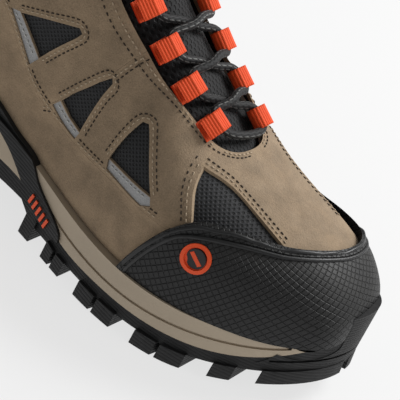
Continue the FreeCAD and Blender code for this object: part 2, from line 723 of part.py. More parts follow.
def tongue_label():
    """The plain woven label on the tongue."""
    room = side_prism([[(120, 147)], [(131.5, 146)], [(160, 160)], [(135, 176)]], -9, 7.5)
    return solids(body(TONGUE_CROWN + 0.5).common(room).cut(body(TONGUE_CROWN + 0.05)))


# ---------------------------------------------------------------- lacing
def loop_frame(loops, index):
    """The middle, the way up the throat, the way across and the way out of one loop."""
    here = Vector(*loops[index])
    before = Vector(*loops[max(index - 1, 0)])
    after = Vector(*loops[min(index + 1, len(loops) - 1)])
    along = (after - before).normalize()
    inward = Vector(0, 1 if here.y < 0 else -1, 0)
    inward = (inward - along * inward.dot(along)).normalize()
    out = along.cross(inward)
    if out.z < 0:
        out = out * -1
    return here, along, inward, out


def lace_hole(loops, index):
    """The middle of the hole that the lace runs through."""
    here, _, inward, out = loop_frame(loops, index)
    return here + out * LOOP_LIFT + inward * 1.5


def webbing_loop(loops, index):
    """One folded webbing loop: a flat tail and an oval fold round the lace."""
    _, along, inward, out = loop_frame(loops, index)
    hole = lace_hole(loops, index) - along * (LOOP_WIDTH / 2)
    across, height = LOOP_SLOT
    outer = slot_face(hole, inward, out, across + 2 * LOOP_WALL, height + 2 * LOOP_WALL)
    inner = slot_face(hole, inward, out, across, height)
    fold = outer.cut(inner).extrude(along * LOOP_WIDTH)
    root = hole - inward * (across / 2)
    corners = [root - out * (height / 2 + LOOP_WALL), root - out * (height / 2 - 0.6),
               root - out * (height / 2 + 1.2) - inward * LOOP_TAIL,
               root - out * (height / 2 + 3.2) - inward * LOOP_TAIL]
    tail = Part.Face(Part.makePolygon(corners + corners[:1])).extrude(along * LOOP_WIDTH)
    return fold.fuse(tail).common(throat(0.1)).removeSplitter()


def slot_face(centre, wide_axis, high_axis, wide, high):
    """A flat oval: two half circles joined by straight sides."""
    reach = wide_axis * ((wide - high) / 2)
    rise = high_axis * (high / 2)
    bulge = wide_axis * (wide / 2)
    a, b = centre - reach + rise, centre + reach + rise
    c, d = centre + reach - rise, centre - reach - rise
    edges = [Part.makeLine(a, b), Part.Arc(b, centre + bulge, c).toShape(),
             Part.makeLine(c, d), Part.Arc(d, centre - bulge, a).toShape()]
    return Part.Face(Part.Wire(edges))


def lace_loops(loops):
    """All webbing loops of one side."""
    return Part.makeCompound([solids(webbing_loop(loops, i)) for i in range(len(loops))])


def laced_half(first, second, over):
    """Half of the lace's route, from the lowest loop of the first side to the knot."""
    points = []
    for index in range(len(first)):
        loops, facing = (first, second) if index % 2 == 0 else (second, first)
        along, out = loop_frame(loops, index)[1::2]
        hole = lace_hole(loops, index)
        points += [hole - along * LACE_STRAIGHT, hole + along * LACE_STRAIGHT]
        if index + 1 < len(first):
            following = lace_hole(facing, index + 1)
            across = (following - hole).normalize() * CROSSING_REACH
            rise = CROSSING_RISE[index] + (LACE_OVER if (index % 2 == 0) == over else 0.0)
            top = (hole + following) * 0.5 + out * rise
            points += [top - across, top + across]
    return points


def lace_route():
    """The whole laced stretch: knot, down one side, across the bottom and back up."""
    left = laced_half(LOOPS_LATERAL, LOOPS_MEDIAL, True)
    right = laced_half(LOOPS_MEDIAL, LOOPS_LATERAL, False)
    bottom = (left[0] + right[0]) * 0.5 + Vector(2.5, 0, -1)
    return ([KNOT + Vector(-2, 5.5, -3.5)] + left[::-1] + [bottom] + right
            + [KNOT + Vector(-2, -5.5, -3.5)])


def rounded_path(points, diameter, name):
    """Straight runs joined by the largest arcs that fit; prints the tightest one."""
    edges = []
    start = points[0]
    tightest = 1e9
    for before, here, after in zip(points, points[1:], points[2:]):
        to_here, onward = here - before, after - here
        turn = to_here.getAngle(onward)
        shorter = min(to_here.Length, onward.Length)
        radius = 0.45 * shorter / math.tan(turn / 2)
        tightest = min(tightest, radius)
        reach = 0.45 * shorter
        into = here - to_here * (reach / to_here.Length)
        out_of = here + onward * (reach / onward.Length)
        centre_way = (into + out_of) * 0.5 - here
        centre = here + centre_way * (math.hypot(radius, reach) / centre_way.Length)
        middle = centre + (here - centre) * (radius / (here - centre).Length)
        edges += [Part.LineSegment(start, into).toShape(), Part.Arc(into, middle, out_of).toShape()]
        start = out_of
    edges.append(Part.LineSegment(start, points[-1]).toShape())
    path = Part.Wire(edges)
    print(f"{name}: {path.Length:.0f} mm long, tightest radius {tightest:.1f} mm,"
          f" {tightest / diameter:.1f} diameters")
    return path


def tube(points, diameter, name):
    """A round tube along the rounded path, checked against section times length."""
    path = rounded_path(points, diameter, name)
    way = points[1] - points[0]
    circle = Part.Wire([Part.Circle(points[0], way, diameter / 2).toShape()])
    pipe = path.makePipeShell([circle], True, False)
    expected = math.pi * diameter ** 2 / 4 * path.Length
    print(f"{name}: volume {pipe.Volume / expected:.3f} of section times length")
    return pipe


def lace_piece(points, name):
    """A free stretch of the lace."""
    return tube([Vector(*point) for point in points], LACE_DIAMETER, name)


def aglet(points):
    """The plastic tip that carries on from the end of a stretch of lace."""
    last, before = Vector(*points[-1]), Vector(*points[-2])
    return Part.makeCylinder(AGLET_DIAMETER / 2, AGLET_LENGTH, last, (last - before).normalize())


def lace_knot():
    """The knot of the bow: a round core between two smaller lobes."""
    core = Part.makeSphere(KNOT_SIZE, KNOT)
    lobes = [Part.makeSphere(KNOT_SIZE - 1.4, KNOT + Vector(-0.6, dy, -0.8)) for dy in (-3.4, 3.4)]
    return core.fuse(lobes)


def pull_loop():
    """The webbing loop behind the collar."""
    x, z = PULL_MIDDLE
    centre = Vector(x, -PULL_WIDTH / 2, z)
    length, width = PULL_SIZE[1], PULL_SIZE[0]
    outer = slot_face(centre, Vector(0, 0, 1), Vector(1, 0, 0), length, width)
    inner = slot_face(centre, Vector(0, 0, 1), Vector(1, 0, 0), length - 2 * PULL_THICKNESS,
                      width - 2 * PULL_THICKNESS)
    return outer.cut(inner).extrude(Vector(0, PULL_WIDTH, 0))


def export(name, shape, shift):
    """Write one sub-part, moved so that the origin is the footprint's centre."""
    moved = shape.copy()
    moved.translate(shift)
    moved.exportStep(f"parts/{name}.step")
    print(f"{name}: {len(moved.Solids)} solid(s), {moved.Volume:.0f} mm3, valid {moved.isValid()}")


def pieces():
    """Every sub-part by name."""
    made = {
        "outsole": outsole(),
        "midsole": midsole(),
        "shank": shank_band(),
        "puncture_plate": puncture_plate(),
        "insole_board": insole_board(),
        "footbed": footbed(),
        "lining": lining(),
        "foam_interlining": foam_interlining(),
        "internal_toe_cap": internal_toe_cap(),
        "heel_counter": heel_counter(),
        "mesh_underlay": mesh_underlay(),
        "collar_foam": collar_foam(),
        "collar_cover": collar_cover(),
        "heel_panel": heel_panel(),
        "vamp": vamp(),
        "toe_guard": toe_guard(),
        "guard_badge": guard_badge(),
        "tongue": tongue(),
        "tongue_label": tongue_label(),
        "lace_loops_lateral": lace_loops(LOOPS_LATERAL),
        "lace_loops_medial": lace_loops(LOOPS_MEDIAL),
        "lace": tube(lace_route(), LACE_DIAMETER, "lace"),
        "lace_knot": lace_knot(),
        "bow_loop_lateral": lace_piece(BOW_LATERAL, "bow_loop_lateral"),
        "bow_loop_medial": lace_piece(BOW_MEDIAL, "bow_loop_medial"),
        "lace_end_lateral": lace_piece(END_LATERAL, "lace_end_lateral"),
        "lace_end_medial": lace_piece(END_MEDIAL, "lace_end_medial"),
        "aglet_lateral": aglet(END_LATERAL),
        "aglet_medial": aglet(END_MEDIAL),
        "pull_loop": pull_loop(),
    }
    for name, sign in (("lateral", -1), ("medial", 1)):
        made[f"mudguard_{name}"] = mudguard(sign)
        made[f"rear_quarter_{name}"] = rear_quarter(sign)
        made[f"front_quarter_{name}"] = front_quarter(sign)
        made[f"reflective_strips_{name}"] = reflective_strips(sign)
        made[f"arm_bars_{name}"] = arm_bars(sign)
    return made


def main():
    """Build and write the whole boot."""
    os.makedirs("parts", exist_ok=True)
    made = pieces()
    print_of_sole = made["outsole"].optimalBoundingBox(False)
    shift = Vector(-print_of_sole.Center.x, -print_of_sole.Center.y, 0)
    print(f"sole {print_of_sole.XLength:.1f} x {print_of_sole.YLength:.1f}, moved by {shift}")
    for name, shape in made.items():
        export(name, shape, shift)


if __name__ == "__main__":
    main()
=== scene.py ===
import json
import logging
import math
from collections.abc import Sequence
from dataclasses import dataclass
from enum import Enum

import bpy
from mathutils import Matrix, Vector
from mathutils.bvhtree import BVHTree


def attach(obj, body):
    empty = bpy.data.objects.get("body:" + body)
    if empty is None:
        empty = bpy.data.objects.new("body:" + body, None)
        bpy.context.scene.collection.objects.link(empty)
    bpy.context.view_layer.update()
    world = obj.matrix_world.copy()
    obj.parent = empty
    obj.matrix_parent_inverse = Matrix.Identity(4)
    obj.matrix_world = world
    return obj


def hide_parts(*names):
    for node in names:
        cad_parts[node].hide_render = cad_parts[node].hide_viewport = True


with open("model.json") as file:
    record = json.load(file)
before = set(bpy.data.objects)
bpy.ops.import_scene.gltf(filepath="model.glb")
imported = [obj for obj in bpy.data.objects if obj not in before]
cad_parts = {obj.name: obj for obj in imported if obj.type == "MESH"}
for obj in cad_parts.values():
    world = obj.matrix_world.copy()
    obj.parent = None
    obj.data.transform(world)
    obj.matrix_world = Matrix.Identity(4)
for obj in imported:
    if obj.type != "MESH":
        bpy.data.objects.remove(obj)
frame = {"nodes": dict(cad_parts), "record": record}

log = logging.getLogger("hiking_boot")

MM = 0.001
FOOTPRINT_CENTRE = Vector((154.781, -3.457, 0.0))

# The angle that makes one ridge of a sine's absolute value.
ONE_RIDGE = math.pi

Pair = tuple[float, float]
Triple = tuple[float, float, float]

# The route of the lace and the places of the loops, as in the CAD source, in
# millimetres from the back of the heel.
LOOPS_LATERAL: list[Triple] = [
    (197.4, -19.5, 106), (178.5, -21.5, 117), (160, -23, 129.5), (142, -24.2, 143.5),
    (122.5, -25, 159.5), (110, -25.5, 177.5),
]
LOOPS_MEDIAL: list[Triple] = [
    (205, 18.5, 101.5), (186, 19.5, 113), (168, 20.5, 125), (151, 21, 138.5),
    (132, 21.5, 154), (117.3, 22, 170.4),
]
KNOT = Vector((121.5, -1.5, 191.5))
BOW_LATERAL: list[Triple] = [
    (120, -6.5, 192.5), (117, -22, 194.5), (110, -37, 188), (103, -46.5, 172), (99, -48.5, 154),
    (93.4, -49, 140.6), (80, -49, 135), (66.6, -48.5, 140.6), (61, -48, 154), (66, -48.5, 169),
    (81, -47, 184), (99, -37, 196), (113, -20, 203), (120.5, -5.5, 198),
]
BOW_MEDIAL: list[Triple] = [
    (120, 3.5, 192.5), (117, 19, 194.5), (110, 34, 188), (103, 43.5, 172), (99, 46.5, 154),
    (93.4, 47.5, 140.6), (80, 47.5, 135), (66.6, 47, 140.6), (61, 46.5, 154), (66, 46, 169),
    (81, 44.5, 184), (99, 34, 196), (113, 17, 203), (120.5, 2.5, 198),
]
END_LATERAL: list[Triple] = [
    (124, -6, 189), (129, -18, 189.5), (127.5, -30, 182), (122, -37.5, 167.5), (119, -39.5, 152),
]
END_MEDIAL: list[Triple] = [
    (124, 3, 189), (129, 15, 189.5), (128.5, 28, 184), (124.5, 37.5, 172), (121.5, 41.5, 154),
    (121, 41.5, 137), (121.5, 41.5, 122),
]

# Seams that carry stitching, in millimetres: side views as (x, z), plans as (x, y).
MUDGUARD_SEAM: list[Pair] = [
    (22, 120), (40, 118), (56, 115), (77, 104), (92, 89), (108, 75), (128, 66.5), (150, 63.8),
    (175, 65.5), (196, 66.5), (207, 66.4),
]
QUARTER_SEAM: list[Pair] = [
    (116, 70), (121, 73), (128, 83), (137, 95), (144, 106), (148, 115), (152, 123), (156, 129),
]
QUARTER_FRONT: list[Pair] = [
    (207, 108), (208, 99), (209.5, 94), (213, 87), (218, 80.5), (223, 73.5),
]
COLLAR_SEAM: list[Pair] = [
    (22, 141), (34, 137.5), (62, 134.5), (84, 138), (97, 149), (101, 160), (103, 172),
]
REAR_WINDOW: list[Pair] = [
    (86, 107), (103, 113.5), (119, 119), (121.5, 117), (119, 112.5), (113, 104), (105, 91),
]
ARCH_WINDOW: list[Pair] = [
    (126, 78.5), (137, 95.5), (146, 106.5), (147.5, 104), (145.6, 96), (144, 84), (143, 71),
]
BALL_WINDOW: list[Pair] = [
    (166, 73), (168.4, 88), (172, 98.5), (175.5, 99.5), (180, 95), (188, 86), (198, 75),
]
REAR_STRIP: list[Pair] = [(82.5, 105), (102.5, 88.5)]
ARCH_STRIP: list[Pair] = [(124.5, 75), (132.5, 71), (142, 68.3)]
BALL_STRIP: list[Pair] = [(168.5, 70.5), (184, 71.6), (197, 72.4)]
THROAT_LATERAL: list[Pair] = [
    (112, -29.5), (130, -29.5), (160, -28.5), (193, -26.5), (206, -20.5), (213.5, -11), (216, 0),
]
THROAT_MEDIAL: list[Pair] = [
    (112, 26.5), (130, 26.5), (160, 25.5), (193, 25.5), (205, 23), (212.5, 17), (216, 8),
]
VAMP_LATERAL: list[Pair] = [
    (209, -34), (217, -30), (225, -27), (241, -25.5), (256, -25.5), (264, -25.5),
]
VAMP_MEDIAL: list[Pair] = [
    (209, 37), (217, 34), (225, 31), (241, 30), (256, 31), (268, 31),
]
GUARD_SIDE: list[Pair] = [
    (197, 22), (200, 35), (204.5, 48), (210, 60), (217, 71), (220, 74),
]
GUARD_OPENING: list[Pair] = [
    (226, -51), (238, -45), (253, -36), (266, -26.5), (277, -12), (283.5, 6), (283, 24),
    (275, 37), (262, 45), (245, 51), (226, 55),
]
BADGE_CENTRE: Pair = (232.0, 60.0)

# One stitch from end to end: place along it, lift and thickness, each as a share.
STITCH_SHAPE = (
    (-0.5, -0.6, 0.55), (-0.36, 0.35, 0.95), (0.0, 0.75, 1.0), (0.36, 0.35, 0.95), (0.5, -0.6, 0.55),
)


def at(x: float, y: float, z: float) -> Vector:
    """Turn a point in millimetres from the back of the heel into the row frame.

    Args:
        x: Distance from the back of the heel towards the toe.
        y: Distance from the middle towards the medial side.
        z: Height over the ground.

    Returns:
        The same point in metres from the centre of the footprint.
    """
    return (Vector((x, y, z)) - FOOTPRINT_CENTRE) * MM


def add_object(name: str, data: bpy.types.ID) -> bpy.types.Object:
    """Put new data into the scene as an object."""
    obj = bpy.data.objects.new(name, data)
    bpy.context.scene.collection.objects.link(obj)
    return obj


def beside(line: Sequence[Pair], distance: float) -> list[Pair]:
    """Move a line of pairs to its right-hand side.

    Args:
        line: The points, in order.
        distance: How far to move it; a negative distance moves it left.

    Returns:
        The moved points.
    """
    moved = []
    for index, (a, b) in enumerate(line):
        before, after = line[max(index - 1, 0)], line[min(index + 1, len(line) - 1)]
        run = Vector((after[0] - before[0], after[1] - before[1])).normalized() * distance
        moved.append((a + run.y, b - run.x))
    return moved


def evenly(line: Sequence[Pair], pitch: float) -> list[Pair]:
    """Walk along a smooth curve through the points.

    Args:
        line: The points that the curve goes through.
        pitch: Distance between two neighbours on the way.

    Returns:
        Points spaced by the pitch.
    """
    points = [Vector(p) for p in line]
    ends = [points[0] * 2 - points[1], *points, points[-1] * 2 - points[-2]]
    fine = []
    for p0, p1, p2, p3 in zip(ends, ends[1:], ends[2:], ends[3:]):
        for step in range(24):
            t = step / 24
            fine.append(0.5 * (2 * p1 + (p2 - p0) * t + (2 * p0 - 5 * p1 + 4 * p2 - p3) * t * t
                               + (3 * p1 - p0 - 3 * p2 + p3) * t ** 3))
    fine.append(points[-1])
    found, due = [tuple(fine[0])], pitch
    for here, following in zip(fine, fine[1:]):
        reach = (following - here).length
        while due <= reach:
            found.append(tuple(here.lerp(following, due / reach)))
            due += pitch
        due -= reach
    return found


# ------------------------------------------------------------------ shader wiring
class Wiring:
    """A node tree that is being wired."""

    # The Mix node's inputs for its share and its two colours.
    colour_mix = (0, 6, 7)

    def __init__(self, tree: bpy.types.NodeTree) -> None:
        """Take over a tree."""
        self.tree = tree

    def add(self, kind: str, inputs: dict | None = None, **settings: object) -> bpy.types.Node:
        """Add a node.

        Args:
            kind: The node's type name.
            inputs: For each input, a value or the socket that feeds it.
            **settings: Attributes of the node itself.

        Returns:
            The new node.
        """
        node = self.tree.nodes.new(kind)
        for name, value in settings.items():
            setattr(node, name, value)
        for name, value in (inputs or {}).items():
            self.feed(node.inputs[name], value)
        return node

    def feed(self, socket: bpy.types.NodeSocket, value: object) -> None:
        """Link a socket to another one, or set its value."""
        if isinstance(value, bpy.types.NodeSocket):
            self.tree.links.new(value, socket)
        else:
            socket.default_value = value

    def math(self, operation: str, *values: object) -> bpy.types.NodeSocket:
        """Add a Math node."""
        return self.add("ShaderNodeMath", dict(enumerate(values)), operation=operation).outputs[0]

    def vector(self, operation: str, *values: object) -> bpy.types.Node:
        """Add a Vector Math node."""
        return self.add("ShaderNodeVectorMath", dict(enumerate(values)), operation=operation)

    def mix(self, share: object, first: object, second: object) -> bpy.types.NodeSocket:
        """Mix two colours."""
        node = self.tree.nodes.new("ShaderNodeMix")
        node.data_type = "RGBA"
        for index, value in zip(self.colour_mix, (share, first, second)):
            self.feed(node.inputs[index], value)
        return node.outputs[2]

    def ramp(self, value: bpy.types.NodeSocket, low: float, high: float,
             start: float = 0.0, end: float = 1.0) -> bpy.types.NodeSocket:
        """Map low to high onto start to end, and clamp the value there."""
        ranges = {"Value": value, "From Min": low, "From Max": high, "To Min": start, "To Max": end}
        return self.add("ShaderNodeMapRange", ranges).outputs[0]

    def sum(self, first: bpy.types.NodeSocket, second: bpy.types.NodeSocket,
            share: float) -> bpy.types.NodeSocket:
        """Add a share of a second value to a first one."""
        return self.math("ADD", first, self.math("MULTIPLY", second, share))

    def wave(self, turns: bpy.types.NodeSocket, factor: float = ONE_RIDGE) -> bpy.types.NodeSocket:
        """Make rounded ridges, from 0 to 1, as a value grows."""
        return self.math("ABSOLUTE", self.math("SINE", self.math("MULTIPLY", turns, factor)))

    def where(self, output: str = "Object") -> bpy.types.NodeSocket:
        """Give the surface's own coordinates."""
        return self.add("ShaderNodeTexCoord").outputs[output]

    def facing(self) -> bpy.types.NodeSocket:
        """Give how far the surface looks up, from -1 to 1."""
        normal = self.add("ShaderNodeNewGeometry").outputs["Normal"]
        return self.add("ShaderNodeSeparateXYZ", {0: normal}).outputs["Z"]


def rgb(red: float, green: float, blue: float) -> tuple[float, float, float, float]:
    """Give a colour its alpha."""
    return red, green, blue, 1.0


class Effect:
    """A shared surface effect, kept as one node group."""

    def __init__(self, name: str, inputs: dict[str, float], outputs: Sequence[str]) -> None:
        """Start the group."""
        self.tree = bpy.data.node_groups.new(name, "ShaderNodeTree")
        for key, value in inputs.items():
            vector = isinstance(value, tuple)
            kind = "NodeSocketVector" if vector else "NodeSocketFloat"
            socket = self.tree.interface.new_socket(name=key, in_out="INPUT", socket_type=kind)
            socket.default_value = value
        for key in outputs:
            self.tree.interface.new_socket(name=key, in_out="OUTPUT", socket_type="NodeSocketFloat")
        self.wiring = Wiring(self.tree)
        self.inside = self.wiring.add("NodeGroupInput")
        self.result = self.wiring.add("NodeGroupOutput")
        self.place = self.wiring.where()

    def give(self, **results: bpy.types.NodeSocket) -> None:
        """Connect the group's outputs."""
        for key, socket in results.items():
            self.tree.links.new(socket, self.result.inputs[key])

    def use(self, wiring: Wiring, **inputs: object) -> bpy.types.NodeOutputs:
        """Put the effect into a material and give its outputs."""
        return wiring.add("ShaderNodeGroup", inputs, node_tree=self.tree).outputs


class Effects:
    """All the effects that the boot's finishes share."""

    def __init__(self) -> None:
        """Build each effect once."""
        self.grain = self._grain()
        self.weave = self._weave()
        self.ribs = self._ribs()
        self.scales = self._scales()
        self.wear = self._wear()
        self.dust = self._dust()

    @staticmethod
    def _grain() -> Effect:
        """Fine grain with broad, cloudy changes of tone."""
        effect = Effect("grain", {"Fine": 1500.0, "Broad": 90.0}, ("Height", "Tone"))
        w = effect.wiring
        fine = w.add("ShaderNodeTexNoise", {"Vector": effect.place, "Scale": effect.inside.outputs["Fine"],
                                            "Detail": 4.0, "Roughness": 0.65})
        broad = w.add("ShaderNodeTexNoise", {"Vector": effect.place, "Scale": effect.inside.outputs["Broad"],
                                             "Detail": 3.0, "Roughness": 0.6})
        blotch = w.math("MULTIPLY", broad.outputs["Fac"], 0.55)
        tone = w.math("ADD", blotch, w.math("MULTIPLY", fine.outputs["Fac"], 0.45))
        effect.give(Height=fine.outputs["Fac"], Tone=tone)
        return effect

    @staticmethod
    def _weave() -> Effect:
        """Round cells between crossing threads, seen along one direction."""
        effect = Effect("weave", {"Across": (1.0, 0.0, 0.0), "Along": (0.0, 0.0, 1.0), "Cell": 0.002},
                        ("Height", "Hole"))
        w = effect.wiring
        waves = []
        for side in ("Across", "Along"):
            run = w.vector("DOT_PRODUCT", effect.place, effect.inside.outputs[side]).outputs["Value"]
            waves.append(w.wave(w.math("DIVIDE", run, effect.inside.outputs["Cell"])))
        hole = w.ramp(w.math("MULTIPLY", *waves), 0.45, 0.8)
        effect.give(Height=w.math("SUBTRACT", 1.0, hole), Hole=hole)
        return effect

    @staticmethod
    def _ribs() -> Effect:
        """Parallel ribs at a pitch along one direction."""
        effect = Effect("ribs", {"Direction": (0.0, 0.0, 1.0), "Pitch": 0.0016}, ("Height",))
        w = effect.wiring
        run = w.vector("DOT_PRODUCT", effect.place, effect.inside.outputs["Direction"]).outputs["Value"]
        wave = w.wave(w.math("DIVIDE", run, effect.inside.outputs["Pitch"]))
        effect.give(Height=w.math("POWER", wave, 0.6))
        return effect

    @staticmethod
    def _scales() -> Effect:
        """Square scales that wrap round the toe, with narrow grooves between them."""
        effect = Effect("scales", {"Centre": (0.07, 0.003, 0.0), "Cell": 0.0034, "Turn": 0.066}, ("Height",))
        w = effect.wiring
        offset = w.vector("SUBTRACT", effect.place, effect.inside.outputs["Centre"]).outputs["Vector"]
        spot = w.add("ShaderNodeSeparateXYZ", {0: offset})
        x, y, z = (spot.outputs[axis] for axis in "XYZ")
        reach = w.math("SQRT", w.math("ADD", w.math("MULTIPLY", x, x), w.math("MULTIPLY", y, y)))
        around = w.math("MULTIPLY", w.math("ARCTAN2", y, x), effect.inside.outputs["Turn"])
        up = w.math("SUBTRACT", z, w.math("MULTIPLY", reach, 0.8))
        waves = []
        for way in ("ADD", "SUBTRACT"):
            turns = w.math("DIVIDE", w.math(way, around, up), effect.inside.outputs["Cell"])
            waves.append(w.wave(turns, math.pi / math.sqrt(2)))
        effect.give(Height=w.ramp(w.math("MINIMUM", *waves), 0.1, 0.42))
        return effect

    @staticmethod
    def _wear() -> Effect:
        """Where an edge stands out and has been rubbed."""
        effect = Effect("edge_wear", {"Amount": 1.0}, ("Mask",))
        w = effect.wiring
        sharp = w.ramp(w.add("ShaderNodeNewGeometry").outputs["Pointiness"], 0.52, 0.6)
        patch = w.add("ShaderNodeTexNoise", {"Vector": effect.place, "Scale": 260.0, "Detail": 3.0})
        broken = w.math("MULTIPLY", sharp, patch.outputs["Fac"])
        effect.give(Mask=w.math("MULTIPLY", broken, effect.inside.outputs["Amount"]))
        return effect

    @staticmethod
    def _dust() -> Effect:
        """A light film of dust on faces that look up."""
        effect = Effect("dust", {"Amount": 0.2}, ("Mask",))
        w = effect.wiring
        up = w.math("MAXIMUM", w.facing(), 0.0)
        patch = w.add("ShaderNodeTexNoise", {"Vector": effect.place, "Scale": 120.0, "Detail": 5.0})
        film = w.math("MULTIPLY", up, patch.outputs["Fac"])
        effect.give(Mask=w.math("MULTIPLY", film, effect.inside.outputs["Amount"]))
        return effect


@dataclass(frozen=True)
class Sheen:
    """The soft edge shine of a napped or woven surface."""

    weight: float
    roughness: float = 0.5


class Finish:
    """One material of the boot. Each kind of finish wires its own pattern."""

    def __init__(self, effects: Effects, name: str, colour: Triple, roughness: float,
                 sheen: Sheen | None = None, specular: float = 0.5) -> None:
        """Make the material and wire it.

        Args:
            effects: The shared effects.
            name: The material's name.
            colour: Its main colour, in linear light.
            roughness: Its usual roughness.
            sheen: Its sheen, if it has any.
            specular: How strongly it mirrors, head on.
        """
        self.effects, self.colour, self.roughness = effects, rgb(*colour), roughness
        self.material = bpy.data.materials.new(name)
        self.material.use_nodes = True
        self.w = Wiring(self.material.node_tree)
        self.shader = self.material.node_tree.nodes["Principled BSDF"]
        self.shader.inputs["Specular IOR Level"].default_value = specular
        if sheen:
            self.shader.inputs["Sheen Weight"].default_value = sheen.weight
            self.shader.inputs["Sheen Roughness"].default_value = sheen.roughness
        self.material.diffuse_color = self.colour
        self.wire()

    def wire(self) -> None:
        """Wire the finish; each kind does this its own way."""
        raise NotImplementedError

    def shade(self, factor: float) -> tuple[float, float, float, float]:
        """The main colour, lighter or darker."""
        return rgb(*(min(1.0, part * factor) for part in self.colour[:3]))

    def connect(self, colour: object, roughness: object, height: object, depth: float,
                strength: float = 1.0) -> None:
        """Connect the finish to its shader.

        Args:
            colour: The socket with the surface's colour.
            roughness: The socket or number of its roughness.
            height: The socket with its relief.
            depth: The relief's depth in millimetres.
            strength: How much of the relief shows.
        """
        bump = self.w.add("ShaderNodeBump", {"Height": height, "Strength": strength, "Distance": depth * MM})
        sockets = {"Base Color": colour, "Roughness": roughness, "Normal": bump.outputs["Normal"]}
        for name, value in sockets.items():
            self.w.feed(self.shader.inputs[name], value)

    def film(self, effect: Effect, amount: float, under: bpy.types.NodeSocket,
             colour: object) -> bpy.types.NodeSocket:
        """Lay rubbed edges or dust over a colour."""
        return self.w.mix(effect.use(self.w, Amount=amount)["Mask"], under, colour)

    def grain(self, fine: float, broad: float) -> bpy.types.NodeOutputs:
        """Give the grain's tone and height for the scales of its fine and broad parts."""
        return self.effects.grain.use(self.w, Fine=fine, Broad=broad)

    def varied(self, tone: bpy.types.NodeSocket, spread: float = 0.1) -> bpy.types.NodeSocket:
        """Roughness that follows the tone a little."""
        change = self.w.math("MULTIPLY", self.w.math("SUBTRACT", tone, 0.5), spread)
        return self.w.math("ADD", change, self.roughness)


class Suede(Finish):
    """Brushed suede: cloudy nap, fine pores and paler rubbed edges."""

    def wire(self) -> None:
        """Wire the nap, the pores with painted shade in them, and the wear."""
        w = self.w
        nap = self.grain(1300.0, 75.0)
        colour = w.mix(w.ramp(nap["Tone"], 0.32, 0.68), self.shade(0.68), self.shade(1.28))
        pores = w.add("ShaderNodeTexVoronoi", {"Scale": 900.0, "Vector": w.where()})
        # Painted shade: the pores are darkened where the relief dips into them.
        colour = w.mix(w.ramp(pores.outputs["Distance"], 0.1, 0.35, 0.35, 0.0), colour, self.shade(0.5))
        colour = self.film(self.effects.wear, 0.7, colour, self.shade(1.7))
        colour = self.film(self.effects.dust, 0.12, colour, rgb(0.5, 0.45, 0.38))
        height = w.sum(nap["Height"], pores.outputs["Distance"], 0.5)
        self.connect(colour, self.varied(nap["Tone"]), height, 0.35, 0.7)


class OpenMesh(Finish):
    """Coarse knitted mesh with holes between the threads, darkened with painted shade."""

    cell = 2.0
    across: Triple = (0.8, 0.25, 0.55)
    along: Triple = (-0.55, 0.25, 0.8)

    def wire(self) -> None:
        """Wire the cells, the threads and the painted shade in the holes."""
        w = self.w
        net = self.effects.weave.use(w, Across=self.across, Along=self.along, Cell=self.cell * MM)
        thread = self.grain(2600.0, 140.0)
        lit = w.mix(thread["Tone"], self.shade(0.7), self.shade(2.6))
        # Painted shade: the holes between the threads are darkened, also in the tongue, lining, collar and
        # footbed fabrics.
        colour = w.mix(net["Hole"], lit, self.shade(0.25))
        height = w.sum(net["Height"], thread["Height"], 0.25)
        self.connect(colour, self.roughness, height, 0.5, 1.0)


class TongueMesh(OpenMesh):
    """Tongue fabric with small raised diamonds."""

    cell = 2.6
    across: Triple = (0.35, 0.8, -0.35)
    along: Triple = (-0.35, 0.8, 0.35)


class FineFabric(OpenMesh):
    """Tight fabric for the lining and the collar."""

    cell = 1.1
    across: Triple = (0.7, 0.0, 0.7)
    along: Triple = (-0.5, 0.7, 0.5)


class Scales(Finish):
    """Moulded rubber with small diamond scales."""

    def wire(self) -> None:
        """Wire the scales, with painted shade in the grooves between them."""
        w = self.w
        net = self.effects.scales.use(w)
        skin = self.grain(1800.0, 110.0)
        rubbed = w.mix(skin["Tone"], self.shade(0.8), self.shade(1.7))
        # Painted shade: the grooves between the scales are darkened where the relief is low.
        colour = w.mix(net["Height"], self.shade(0.3), rubbed)
        colour = self.film(self.effects.dust, 0.08, colour, rgb(0.25, 0.24, 0.22))
        height = w.sum(net["Height"], skin["Height"], 0.12)
        self.connect(colour, self.varied(skin["Tone"], 0.15), height, 0.6, 0.9)


class RibbedRubber(Finish):
    """Tread rubber with fine lines round its walls."""

    def wire(self) -> None:
        """Wire the lines on upright faces and the scuffs on edges."""
        w = self.w
        lines = self.effects.ribs.use(w, Direction=(0.12, 0.0, 1.0), Pitch=1.9 * MM)
        upright = w.ramp(w.math("ABSOLUTE", w.facing()), 0.3, 0.7, 1.0, 0.0)
        skin = self.grain(1500.0, 90.0)
        colour = w.mix(skin["Tone"], self.shade(0.7), self.shade(1.4))
        colour = self.film(self.effects.wear, 0.8, colour, self.shade(3.2))
        relief = w.math("MULTIPLY", lines["Height"], upright)
        height = w.sum(relief, skin["Height"], 0.15)
        self.connect(colour, self.varied(skin["Tone"], 0.2), height, 0.35, 0.8)


class Foam(Finish):
    """Moulded foam or board with a finely pebbled skin."""

    def wire(self) -> None:
        """Wire the pebbles and the paler rubbed edges."""
        w = self.w
        skin = self.grain(2200.0, 60.0)
        colour = w.mix(skin["Tone"], self.shade(0.86), self.shade(1.1))
        colour = self.film(self.effects.wear, 0.4, colour, self.shade(1.3))
        self.connect(colour, self.varied(skin["Tone"]), skin["Height"], 0.12, 0.6)


class Webbing(Finish):
    """Tightly woven tape."""

    def wire(self) -> None:
        """Wire the threads."""
        w = self.w
        net = self.effects.weave.use(w, Across=(1.0, 0.0, 0.0), Along=(0.0, 0.7, 0.7), Cell=0.7 * MM)
        fuzz = self.grain(2600.0, 160.0)
        colour = w.mix(fuzz["Tone"], self.shade(0.72), self.shade(1.15))
        height = w.sum(net["Height"], fuzz["Height"], 0.5)
        self.connect(colour, self.varied(fuzz["Tone"]), height, 0.12, 0.6)


